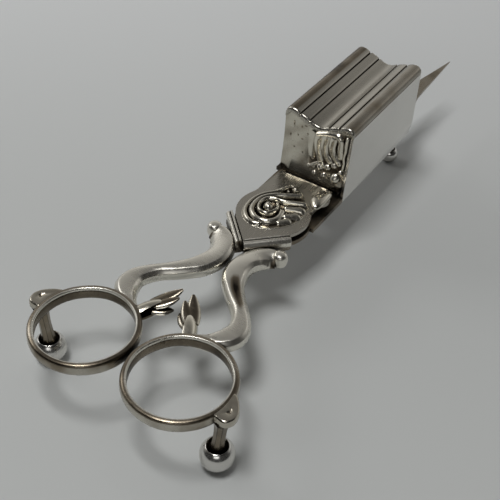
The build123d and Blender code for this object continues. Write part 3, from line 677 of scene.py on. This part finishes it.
# %% Shoulder mouldings
SHOULDER_TURN = radians(135)
MOULDING_SECTIONS = {
    "left": [
        (10.62, 15.8), (10.6, 17.5), (10.6, 19.55), (10.66, 19.8), (10.84, 19.96), (11.06, 19.96), (11.22, 19.8),
        (11.3, 19.52), (11.42, 19.52), (11.56, 19.72), (11.8, 19.76), (12.08, 19.62), (12.3, 19.3), (12.4, 18.8),
        (12.34, 18.1), (12.14, 17.4), (12.1, 16.8), (12.3, 16.2), (12.36, 15.8),
    ],
    "right": [
        (10.62, 15.8), (10.6, 17.5), (10.0, 18.6), (9.9, 19.55), (9.96, 19.78), (10.1, 19.9), (10.28, 19.9),
        (10.42, 19.78), (10.5, 19.54), (10.62, 19.54), (10.74, 19.72), (11.0, 19.8), (11.5, 19.68), (11.95, 19.35),
        (12.28, 18.8), (12.4, 18.1), (12.3, 17.4), (11.9, 16.7), (11.6, 15.8),
    ],
}
MOULDING_RUN = [(-10.4, 1.0), (-10.2, 1.0), (1.0, 1.0), (1.6, 0.99), (1.85, 0.95), (1.98, 0.86), (2.0, 0.8)]


def shoulder_moulding(side):
    section = np.array(MOULDING_SECTIONS[side])
    middle = section.mean(axis=0)
    # The quirk is stained, and the face below the roll is painted dark as shade.
    quirk_tarnish_and_under_shade = [0.85 if 19.5 < z < 19.55 and number > 6 else 0.75 * (z < 17.5) for number, (r, z) in enumerate(section)]
    rings = []
    for run, share in MOULDING_RUN:
        around = middle + (section - middle) * share
        reach, z = around[:, 0], around[:, 1]
        x = reach * cos(SHOULDER_TURN) + run * sin(SHOULDER_TURN)
        y = reach * sin(SHOULDER_TURN) - run * cos(SHOULDER_TURN)
        short = np.clip(0.2 - y, 0, None)
        rings.append(np.column_stack([x + short, y + short, z]))
    points, faces = skin(rings)
    add_piece(f"{side}_run_moulding", (mirrored(points, side), faces), SIDES[side][1], "worn_silver",
              [f"{side}_shoulder_moulding"], np.tile(quirk_tarnish_and_under_shade, len(MOULDING_RUN)))


for side in SIDES:
    shoulder_moulding(side)

# %% [markdown]
# ## Soft edges for sheet metal
# Plates, walls and the floor already have the right shape in the imported model, but a real edge is never perfectly
# sharp, and it is the worn edge that catches the light. A copy of the solid's mesh gets its flat faces joined and its
# edges bevelled. Some sheets are dull all over, the lower hinge plate as painted shade, and the slot between the hinge
# plate and the box is painted black as its shadow.

# %% Sheet pieces with worn edges
def in_painted_slot_shadow(x, z):
    """True in the painted shadow of the slot: between the hinge plate and the floor's front, and on that edge."""
    return 16.3 < x < 17.6 and z < DECK - 0.04 or 17.3 < x < 17.6


def soften(node, name, width, dull=0.0):
    """A copy of a solid with joined flats and rounded edges. Dull darkens it; the slot is painted black as shadow."""
    source = frame["nodes"][node]
    mesh = source.data.copy()
    mesh.name = name
    work = bmesh.new()
    work.from_mesh(mesh)
    bmesh.ops.remove_doubles(work, verts=work.verts, dist=1e-6)
    bmesh.ops.dissolve_limit(work, angle_limit=radians(1.5), verts=work.verts, edges=work.edges)
    corners = [e for e in work.edges if len(e.link_faces) == 2 and e.calc_face_angle(0) > radians(25)]
    bmesh.ops.bevel(work, geom=corners, offset=width * MM, segments=3, profile=0.5, affect="EDGES", clamp_overlap=True)
    bmesh.ops.recalc_face_normals(work, faces=work.faces)
    work.to_mesh(mesh)
    work.free()
    mesh.shade_smooth()
    mesh.set_sharp_from_angle(angle=radians(15))
    depth = mesh.attributes.new("hollow", "FLOAT", "POINT")
    spots = [np.array(v.co) / MM - PIVOT for v in mesh.vertices]
    # The slot and the front edge of the floor are painted black, as the slot's shadow.
    depth.data.foreach_set("value", [1.0 if in_painted_slot_shadow(spot[0], spot[2]) else dull for spot in spots])
    piece = bpy.data.objects.new(name, mesh)
    bpy.context.scene.collection.objects.link(piece)
    slot = next(s["material_slot"] for s in frame["record"]["subparts"] if s["node"] == node)
    mesh.materials.clear()
    mesh.materials.append(finishes[slot])
    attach(piece, source["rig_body"])
    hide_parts(node)
    print(name, len(mesh.vertices), "points")
    return piece


# The lower hinge plate, in the gap under the upper one, is darkened all over as painted shade.
soften("hinge_lower_plate", "lower_hinge_sheet", 0.25, dull=0.7)
soften("hinge_top_plate", "upper_hinge_sheet", 0.3)
soften("box_floor", "box_floor_sheet", 0.1)
soften("box_left_wall", "box_left_sheet", 0.1)
soften("box_far_wall", "box_far_sheet", 0.1)
soften("pusher_plate", "pusher_sheet", 0.16)
soften("wick_spike", "wick_spike_sheet", 0.12, dull=0.55)
for node in ("pivot_rivet", "pivot_washer", "shear_blade"):
    frame["nodes"][node].data.materials.clear()
    frame["nodes"][node].data.materials.append(finishes["hinge_metal"])

# %% [markdown]
# ## Bands and beads
# A chaser raises a pattern in bands and beads. A band is drawn here as a line with a width. A grid of points then takes
# at each place the height of the nearest band, half round across its width, which is how a chaser thinks of it too.
# Sculpting would be freer, but it could not be written down.

# %% Bands and beads
def from_line(x, y, line):
    """Distance of each point from a line, and how far along it the nearest place lies."""
    best = np.full(x.shape, 1e9)
    along = np.zeros(x.shape)
    spans = len(line) - 1
    for number in range(spans):
        start, end = line[number], line[number + 1]
        way = end - start
        share = np.clip(((x - start[0]) * way[0] + (y - start[1]) * way[1]) / (way @ way), 0, 1)
        gap = np.hypot(x - start[0] - share * way[0], y - start[1] - share * way[1])
        along = np.where(gap < best, (number + share) / spans, along)
        best = np.minimum(best, gap)
    return best, along


def bands_and_beads(x, y, bands, beads):
    """Height of rounded bands and beads over a flat ground."""
    height = np.zeros(x.shape)
    for points, first, last, rise in bands:
        gap, along = from_line(x, y, smooth_line(points, 8 * len(points)))
        half = first + (last - first) * along
        height = np.maximum(height, rise * np.clip(1 - (gap / half) ** 2, 0, 1) ** 0.7)
    for bead_x, bead_y, radius, rise in beads:
        gap = np.hypot(x - bead_x, y - bead_y)
        height = np.maximum(height, rise * np.clip(1 - (gap / radius) ** 2, 0, 1) ** 0.7)
    return height


print("top of a bead:", bands_and_beads(np.zeros(1), np.zeros(1), [], [(0.0, 0.0, 1.0, 0.5)])[0], "mm")

# %% [markdown]
# ## A sheet with an outline
# A chased piece ends at an outline, and near it the relief sinks into the plate. So each point of the grid is told how
# far inside the outline it lies, and the points that lie outside are left out of the mesh.

# %% Outlines and sheets
def inside_by(x, y, outline):
    """How far each point lies inside a closed outline. Outside it is negative."""
    edge = np.vstack([outline, outline[:1]])
    gap, along = from_line(x, y, edge)
    inside = np.zeros(x.shape, bool)
    for start, end in zip(edge, edge[1:]):
        crosses = (start[1] > y) != (end[1] > y)
        rise = end[1] - start[1] if end[1] != start[1] else 1e-9
        inside ^= crosses & (x < start[0] + (end[0] - start[0]) * (y - start[1]) / rise)
    return np.where(inside, gap, -gap)


def chased_sheet(keep, place):
    """Points and faces over the kept part of a grid. Place has the spot in space of each point of the grid."""
    number = np.where(keep, np.cumsum(keep).reshape(keep.shape) - 1, -1)
    faces = []
    rows, columns = keep.shape
    for row in range(rows - 1):
        for column in range(columns - 1):
            four = (number[row, column], number[row, column + 1], number[row + 1, column + 1], number[row + 1, column])
            if min(four) >= 0:
                faces.append(four)
    return place[keep], faces


print("middle of a square is inside by", inside_by(np.zeros(1), np.zeros(1), 2.0 * np.array(
    [(-1, -1), (1, -1), (1, 1), (-1, 1)]))[0], "mm")

# %% [markdown]
# ## The shell
# A shell lies over the pivot: a spiral whose bands sweep over the top and run out as flutes, with shorter flutes below
# and a few small beads round it. An oval eye stands in the middle. The ground between the bands is stained, and each
# point keeps its own depth as the `hollow` value for the finish.

# %% Shell over the pivot
SHELL_BANDS = [  # line, half width at its start and end, height
    ([(10.9, 2.1), (7.6, 3.4), (4.6, 5.7), (1.7, 6.9), (-1.3, 7.1), (-4.2, 6.3), (-6.4, 4.4), (-7.2, 2.2), (-6.8, 0.4)],
     0.55, 0.75, 0.75),
    ([(9.0, -2.3), (7.0, 0.3), (5.0, 3.0), (2.6, 4.9), (-0.1, 5.5), (-3.0, 4.95), (-4.9, 3.3), (-5.7, 1.3),
      (-5.3, -0.9), (-3.8, -2.5), (-1.8, -2.9), (0.1, -2.5)], 0.85, 1.0, 1.2),
    ([(6.4, -5.3), (5.1, -3.1), (3.8, -0.6), (3.4, 2.0), (2.3, 3.7), (0.2, 4.2), (-2.0, 3.5), (-3.1, 2.1), (-2.9, 0.5),
      (-1.1, -0.7), (0.8, -0.8), (1.9, 0.1)], 0.9, 0.6, 1.35),
    ([(1.7, -2.6), (3.0, -4.4), (4.1, -6.0)], 0.8, 1.3, 1.2),
    ([(-0.9, -4.0), (0.2, -5.1), (1.3, -6.1)], 1.0, 1.4, 1.05),
    ([(-3.6, -3.7), (-2.6, -4.6), (-1.7, -5.3)], 0.9, 1.2, 0.8),
    ([(10.9, 2.1), (11.7, 1.6), (11.5, 1.0)], 0.4, 0.4, 0.7),
]
SHELL_BEADS = [(10.6, -0.3, 0.85, 1.25), (8.9, 0.9, 0.5, 0.9), (9.4, -2.4, 0.8, 1.25), (6.6, -5.4, 0.9, 1.3)]
SHELL_EYE = (-0.1, 1.7, 1.95, 1.45, 1.7)  # place, half length, half width and height
EYE_TURN = radians(35)
SHELL_EDGE = [
    (12.3, 2.2), (10.6, 3.6), (7.5, 5.2), (4.4, 7.4), (0.8, 8.2), (-3.4, 7.8), (-6.8, 6.0), (-8.4, 3.0),
    (-8.3, 0.2), (-7.3, -2.6), (-5.4, -5.0), (-2.6, -7.0), (0.9, -7.9), (4.4, -7.7), (7.0, -6.8), (9.0, -4.8),
    (11.2, -2.4), (12.3, 0.0),
]
SHELL_GRID = 0.13


def shell():
    x, y = np.meshgrid(np.arange(-9, 13, SHELL_GRID), np.arange(-8.6, 9, SHELL_GRID), indexing="ij")
    depth = inside_by(x, y, smooth_line(SHELL_EDGE, 120, closed=True))
    height = bands_and_beads(x, y, SHELL_BANDS, SHELL_BEADS)
    eye_x, eye_y, eye_long, eye_wide, eye_rise = SHELL_EYE
    u = (x - eye_x) * cos(EYE_TURN) + (y - eye_y) * sin(EYE_TURN)
    v = (y - eye_y) * cos(EYE_TURN) - (x - eye_x) * sin(EYE_TURN)
    dome = eye_rise * np.clip(1 - (u / eye_long) ** 2 - (v / eye_wide) ** 2, 0, 1) ** 0.7
    height = np.maximum(height, dome)
    swell = 0.45 * np.clip(1 - ((x - 1) / 9) ** 2 - ((y - 1) / 8) ** 2, 0, 1)
    rim = 0.07 * np.exp(-((depth - 0.5) / 0.35) ** 2) * (y < 3)
    ground = 0.04 + rim + swell * np.clip(depth, 0, 2) / 2
    lift = (ground + height + 0.08) * np.clip(depth / 0.5, 0, 1) - 0.08
    hollow = 0.8 * np.clip(1 - height / 0.45, 0, 1) * np.clip(depth / 1.6, 0, 1)
    place = np.stack([x, y, DECK + lift], -1)
    keep = depth > -0.15
    add_piece("chased_shell", chased_sheet(keep, place), "box_arm", "chased_silver", ["shell_ornament"],
              hollow[keep])


shell()

# %% [markdown]
# ## The lobe
# Beside the shell the plate carries a drop-shaped boss that comes to a point at the front. It is built like the lugs,
# in rings of its outline that shrink as they rise, with most of the rise near the edge so that it stays full.

# %% Drop-shaped boss
BOSS_OUTLINE = [
    (9.6, -5.6), (7.8, -6.9), (7.0, -8.2), (8.0, -9.2), (10.2, -9.5), (13.0, -9.45), (15.4, -9.0), (15.2, -7.9),
    (13.4, -6.2), (11.4, -5.4),
]
BOSS_MIDDLE = np.array([10.8, -7.5])
BOSS_RISE = 1.6
BOSS_STEPS = 16
BOSS_ROUND = 72


def boss():
    outline = smooth_line(BOSS_OUTLINE, BOSS_ROUND, closed=True)
    layers = [(1.0, DECK - 0.1)]
    for turn in np.linspace(0, pi / 2 - 0.02, BOSS_STEPS):
        layers.append((cos(turn) ** 1.25, DECK + BOSS_RISE * sin(turn)))
    stain = [0.6, 0.5, 0.15] + [0.0] * (BOSS_STEPS - 2)
    add_piece("drop_boss", skin(layered(outline, BOSS_MIDDLE, layers)), "box_arm", "chased_silver", ["lobe_bead"],
              np.repeat(stain, BOSS_ROUND))


boss()

# %% [markdown]
# ## Moulded top of the box
# The top of the box is sheet drawn through a moulding: round shoulders, two pairs of fine grooves and a wide trough.
# The section is drawn point by point from the right eaves to the left, and swept along the box. The grooves are
# stained, and both shoulders are painted darker as shade, the left one most. The first and last sections are drawn
# in a little, and the front ones carry none of this darkening, which gives the bright rim along the front.

# %% Moulded box top
TOP_RIGHT_HALF = [  # from the right eaves to the middle of the trough
    (-10.9, 35.9), (-10.9, 36.3), (-10.8, 36.9), (-10.4, 37.5), (-9.75, 37.88), (-9.0, 38.0), (-8.0, 37.86),
    (-7.3, 37.58), (-6.86, 37.36), (-6.7, 37.2), (-6.56, 36.7), (-6.4, 36.66), (-6.24, 37.04), (-6.1, 37.14),
    (-5.2, 36.86), (-4.3, 36.55), (-3.84, 36.32), (-3.7, 36.18), (-3.56, 35.75), (-3.4, 35.72), (-3.26, 36.02),
    (-3.12, 36.1), (-2.4, 35.66), (-1.4, 35.28),
]
TOP_MIDDLE = -0.45
TOP_INSIDE = [
    (-9.85, 35.9), (-9.8, 36.1), (-9.5, 36.5), (-8.9, 36.7), (-7.8, 36.4), (-6.4, 35.7), (-4.8, 35.0),
    (-3.4, 34.5), (-1.8, 34.1),
]
GROOVES_OUT = (6.03, 3.03)
CLEAN_RIM = 21
TOP_RUN = [  # place along the box, and how far it is drawn in
    (20.3, 0.9), (20.33, 0.64), (20.44, 0.38), (20.63, 0.17), (20.88, 0.05), (21.2, 0.0), (41.0, 0.0), (60.6, 0.0),
    (60.85, 0.0), (61.05, 0.05), (61.12, 0.16),
]
TOP_SECTION = TOP_RIGHT_HALF + [(TOP_MIDDLE, 35.15)] + [(2 * TOP_MIDDLE - y, z) for y, z in reversed(TOP_RIGHT_HALF)]


def box_top():
    outer = np.array(TOP_SECTION)
    inner = np.array(TOP_INSIDE + [(TOP_MIDDLE, 34.0)] + [(2 * TOP_MIDDLE - y, z) for y, z in reversed(TOP_INSIDE)])
    # Both shoulders are painted darker as shade, the left one most, and the grooves are stained.
    stain = np.where(outer[:, 0] > 6.7, 0.7, 0.45 * (outer[:, 0] < -7.6))
    for offset in GROOVES_OUT:
        stain[np.abs(np.abs(outer[:, 0] - TOP_MIDDLE) - offset) < 0.12] = 1.0
    rings, hollow = [], []
    for x, draw in TOP_RUN:
        ring = np.vstack([outer - [0, draw], inner[::-1]])
        rings.append(np.column_stack([np.full(len(ring), x), ring]))
        hollow.append(np.concatenate([0 * stain if x < CLEAN_RIM else stain, np.full(len(inner), 0.4)]))
    add_piece("drawn_box_top", skin(rings), "box_arm", "satin_silver", ["box_top"], hollow)


box_top()

# %% [markdown]
# ## Front of the box
# The right half of the front wall carries a chased acanthus: flutes that fall from a bulging rim to a row of beads. It
# is set out here as on the shell, in bands and beads, each given across the wall and by its height.

# %% Lines of the chased leaf
LEAF_BANDS = [  # line, half width at its start and end, height
    ([(0.9, 32.4), (1.0, 29.0), (0.6, 25.7)], 1.4, 1.1, 0.3),
    ([(-1.2, 33.0), (-0.8, 30.5), (-1.2, 28.1), (-2.1, 25.8)], 1.3, 1.1, 0.55),
    ([(-3.3, 33.4), (-2.9, 30.4), (-3.5, 28.2), (-5.0, 26.4)], 1.35, 1.1, 0.7),
    ([(-5.5, 33.6), (-5.2, 30.8), (-5.9, 28.8), (-7.3, 27.2)], 1.3, 1.05, 0.75),
    ([(-0.4, 33.3), (-2.4, 34.1), (-4.2, 34.6), (-6.5, 34.8), (-7.7, 33.6), (-7.8, 31.1), (-8.1, 29.0)],
     0.6, 1.1, 0.95),
    ([(-9.35, 35.0), (-9.1, 33.0), (-9.25, 31.0), (-9.0, 29.0), (-9.3, 27.0), (-9.1, 25.0)], 0.5, 0.45, 0.8),
    ([(0.9, 22.5), (-0.4, 23.6), (-1.6, 24.4)], 0.5, 0.6, 0.55),
    ([(-3.0, 24.6), (-3.9, 23.9), (-4.8, 24.3)], 0.6, 0.6, 0.5),
]
LEAF_BEADS = [
    (-2.5, 23.5, 1.15, 1.0), (-0.5, 23.1, 0.85, 0.7), (1.0, 22.6, 0.7, 0.5), (-4.7, 24.2, 1.05, 0.9),
    (-6.5, 25.5, 0.95, 0.85), (-8.0, 26.6, 0.85, 0.8), (-7.4, 21.9, 1.5, 1.35), (-3.8, 21.5, 0.8, 0.6),
    (-1.0, 21.2, 0.7, 0.5), (-8.6, 24.0, 0.7, 0.7),
]
LEAF_GROUND = [
    (1.6, 33.2), (-1.5, 34.9), (-5.0, 35.6), (-9.6, 35.6), (-9.7, 24.0), (-7.0, 22.6), (-4.0, 22.3), (-1.0, 22.3),
    (1.4, 22.4), (1.6, 27.0),
]
print("chased leaf of", len(LEAF_BANDS), "bands and", len(LEAF_BEADS), "beads")

# %% [markdown]
# ## The wall behind the leaf
# The wall leans back in a shallow hollow and sweeps forward at its foot. Its left half is plain, with a few scratches.
# A grid is bent to that shape first, finer towards the foot, and then the leaf is raised from it. The back of the grid
# closes it to a sheet.

# %% Chased front wall
WALL_FOOT, WALL_HEAD, WALL_HOLLOW = 19.5, 20.4, 0.5
WALL_RIGHT, WALL_LEFT = -9.7, 9.95
WALL_GRID, WALL_THICK = 170, 0.9
BOX_TOP = 38.0
COVE_OUT, COVE_UP = 1.1, 6.5
DENTS = [  # across, height, half width and half height
    (7.0, 33.6, 0.18, 0.9), (4.6, 33.2, 0.16, 0.3), (3.4, 33.9, 0.4, 0.15), (7.9, 29.6, 0.16, 0.4),
    (5.6, 30.2, 0.15, 0.3), (4.2, 29.4, 0.3, 0.14), (2.6, 31.6, 0.18, 0.18), (6.4, 26.2, 0.25, 0.15),
    (3.6, 25.4, 0.16, 0.16),
]


def front_wall():
    across, upward = np.linspace(WALL_RIGHT, WALL_LEFT, WALL_GRID), np.linspace(0, 1, WALL_GRID) ** 1.3
    y, share = np.meshgrid(across, upward, indexing="ij")
    section = np.array(TOP_SECTION)
    head = np.interp(y, section[:, 0], section[:, 1]) - 0.5
    z = DECK + share * (head - DECK)
    rise = (z - DECK) / (BOX_TOP - DECK)
    face = WALL_FOOT + (WALL_HEAD - WALL_FOOT) * rise + WALL_HOLLOW * 4 * rise * (1 - rise)
    reach = COVE_OUT * np.clip((9.6 - y) / 3.0, 0.05, 1) * np.clip((y + 9.7) / 2.5, 0.05, 1)
    low = np.clip(1 - (z - DECK) / COVE_UP, 0, 1)
    cove = reach * low ** 2
    height = bands_and_beads(y, z, LEAF_BANDS, LEAF_BEADS)
    depth = inside_by(y, z, smooth_line(LEAF_GROUND, 80, closed=True))
    swell = 0.4 * np.clip(depth / 2.5, 0, 1)
    dents = sum(np.exp(-((y - at) / wide) ** 2 - ((z - up) / tall) ** 2) for at, up, wide, tall in DENTS)
    front = np.stack([face - cove - height - swell + 0.12 * dents, y, z], -1)
    back = np.stack([face + WALL_THICK, y, z], -1)
    leaf = 0.75 * np.clip(1 - height / 0.4, 0, 1)
    # Patina over the plain wall, varied at random and darker in the dents, with painted shade added towards the foot.
    patina_and_foot_shade = 0.3 + 0.1 * np.sin(0.9 * y + 0.5 * z) * np.sin(0.6 * z) + 0.12 * low + 0.35 * np.clip(dents, 0, 1)
    chased = np.clip(depth / 1.2, 0, 1)
    hollow = np.where(height > 0.3, 0.0, chased * leaf + (1 - chased) * patina_and_foot_shade)
    rings = np.concatenate([front, back[:, ::-1]], axis=1)
    stain = np.concatenate([hollow, np.full(hollow.shape, 0.4)], axis=1)
    add_piece("chased_front_wall", skin(rings), "box_arm", "chased_silver", ["box_front_wall", "front_leaf"], stain)


front_wall()

# %% [markdown]
# ## The table
# The snuffers stand on a plain grey table. Its colour is painted paler towards the back as painted light, as the
# table looks in the photograph. One flat square is enough, and a ramp along the camera's heading paints that change.

# %% Table
LEVEL_AHEAD = (cos(CAMERA_HEADING), sin(CAMERA_HEADING), 0.0)
FLOOR_HALF = 800.0
FLOOR_NEAR, FLOOR_FAR = (0.58, 0.595, 0.585), (0.89, 0.905, 0.91)


def table():
    mesh = bpy.data.meshes.new("table")
    corners = [(-FLOOR_HALF, -FLOOR_HALF, 0), (FLOOR_HALF, -FLOOR_HALF, 0), (FLOOR_HALF, FLOOR_HALF, 0),
               (-FLOOR_HALF, FLOOR_HALF, 0)]
    mesh.from_pydata([tuple(p) for p in in_frame(corners)], [], [(0, 1, 2, 3)])
    top = bpy.data.objects.new("table", mesh)
    bpy.context.scene.collection.objects.link(top)
    bench = Bench(bpy.data.materials.new("grey_table"))
    place = bench.node("ShaderNodeTexCoord", output="Object")
    back = bench.node("ShaderNodeVectorMath", {"operation": "DOT_PRODUCT"}, {0: place, 1: LEVEL_AHEAD}, output="Value")
    # The colour ramp paints the table paler towards the back, as painted light.
    stops = [(0.0, FLOOR_NEAR), (1.0, FLOOR_FAR)]
    colour = bench.node("ShaderNodeValToRGB", {"stops": stops}, {"Fac": back.between(-0.03, 0.26)})
    cloth = bench.node("ShaderNodeBsdfPrincipled", None, {"Base Color": colour, "Roughness": 0.75})
    bench.node("ShaderNodeOutputMaterial", None, {"Surface": cloth})
    mesh.materials.append(bench.owner)
    print("table", 2 * FLOOR_HALF, "mm wide")


table()

# %% [markdown]
# ## Lamps
# One soft light hangs overhead and a little to the left, a second one stands low on the left for the bright edges, and
# a weak one beside the camera opens the shadows. Area lamps are used, because silver mirrors the shape of a lamp.

# %% Lamps
def soft_light(name, at, target, size, watts):
    lamp = bpy.data.lights.new(name, "AREA")
    lamp.shape = "RECTANGLE"
    lamp.size, lamp.size_y = size
    lamp.energy = watts
    box = bpy.data.objects.new(name, lamp)
    start = Vector(in_frame(at)[0])
    aim = Vector(in_frame(target)[0]) - start
    box.matrix_world = Matrix.Translation(start) @ aim.to_track_quat("-Z", "Y").to_matrix().to_4x4()
    bpy.context.scene.collection.objects.link(box)
    print("light", name, watts, "W")


soft_light("overhead", (-190, 60, 800), (0, 0, 10), (0.26, 0.2), 2.95)
soft_light("left_low", (-20, 560, 420), (0, 0, 15), (0.3, 0.2), 0.45)
soft_light("by_the_camera", (-640, -330, 420), (0, 0, 15), (0.4, 0.25), 0.42)

# %% [markdown]
# ## The room
# Silver only looks like silver when it has light and dark to show. So the room is brightest in a band beyond the
# object, and dim overhead and behind the camera. Where the camera looks past the edge of the table, it sees a plain
# pale backdrop.

# %% Room
ROOM_TONES = [
    (0.0, (0.22, 0.22, 0.22)), (0.12, (0.45, 0.45, 0.44)), (0.32, (0.8, 0.79, 0.77)), (0.5, (0.46, 0.455, 0.44)),
    (0.68, (0.26, 0.255, 0.245)), (1.0, (0.1, 0.1, 0.1)),
]
BACKDROP = (0.4, 0.41, 0.41, 1.0)

room = Bench(bpy.data.worlds.new("dim_room"))
bpy.context.scene.world = room.owner
sky = room.node("ShaderNodeTexCoord", output="Generated")
up = room.node("ShaderNodeSeparateXYZ", None, {"Vector": sky}, output="Z")
beyond = room.node("ShaderNodeVectorMath", {"operation": "DOT_PRODUCT"}, {0: sky, 1: LEVEL_AHEAD}, output="Value")
air = room.node("ShaderNodeValToRGB", {"stops": ROOM_TONES}, {"Fac": up})
glow = room.node("ShaderNodeBackground", None, {"Color": air, "Strength": 0.06 + 0.84 * beyond.between(-0.2, 0.6)})
backdrop = room.node("ShaderNodeBackground", None, {"Color": BACKDROP, "Strength": 1.0})
seen = room.node("ShaderNodeLightPath", output="Is Camera Ray")
both = room.node("ShaderNodeMixShader", None, {0: seen, 1: glow, 2: backdrop})
room.node("ShaderNodeOutputWorld", None, {"Surface": both})
bpy.context.scene.view_settings.view_transform = "Standard"
print("room of", len(ROOM_TONES), "tones")
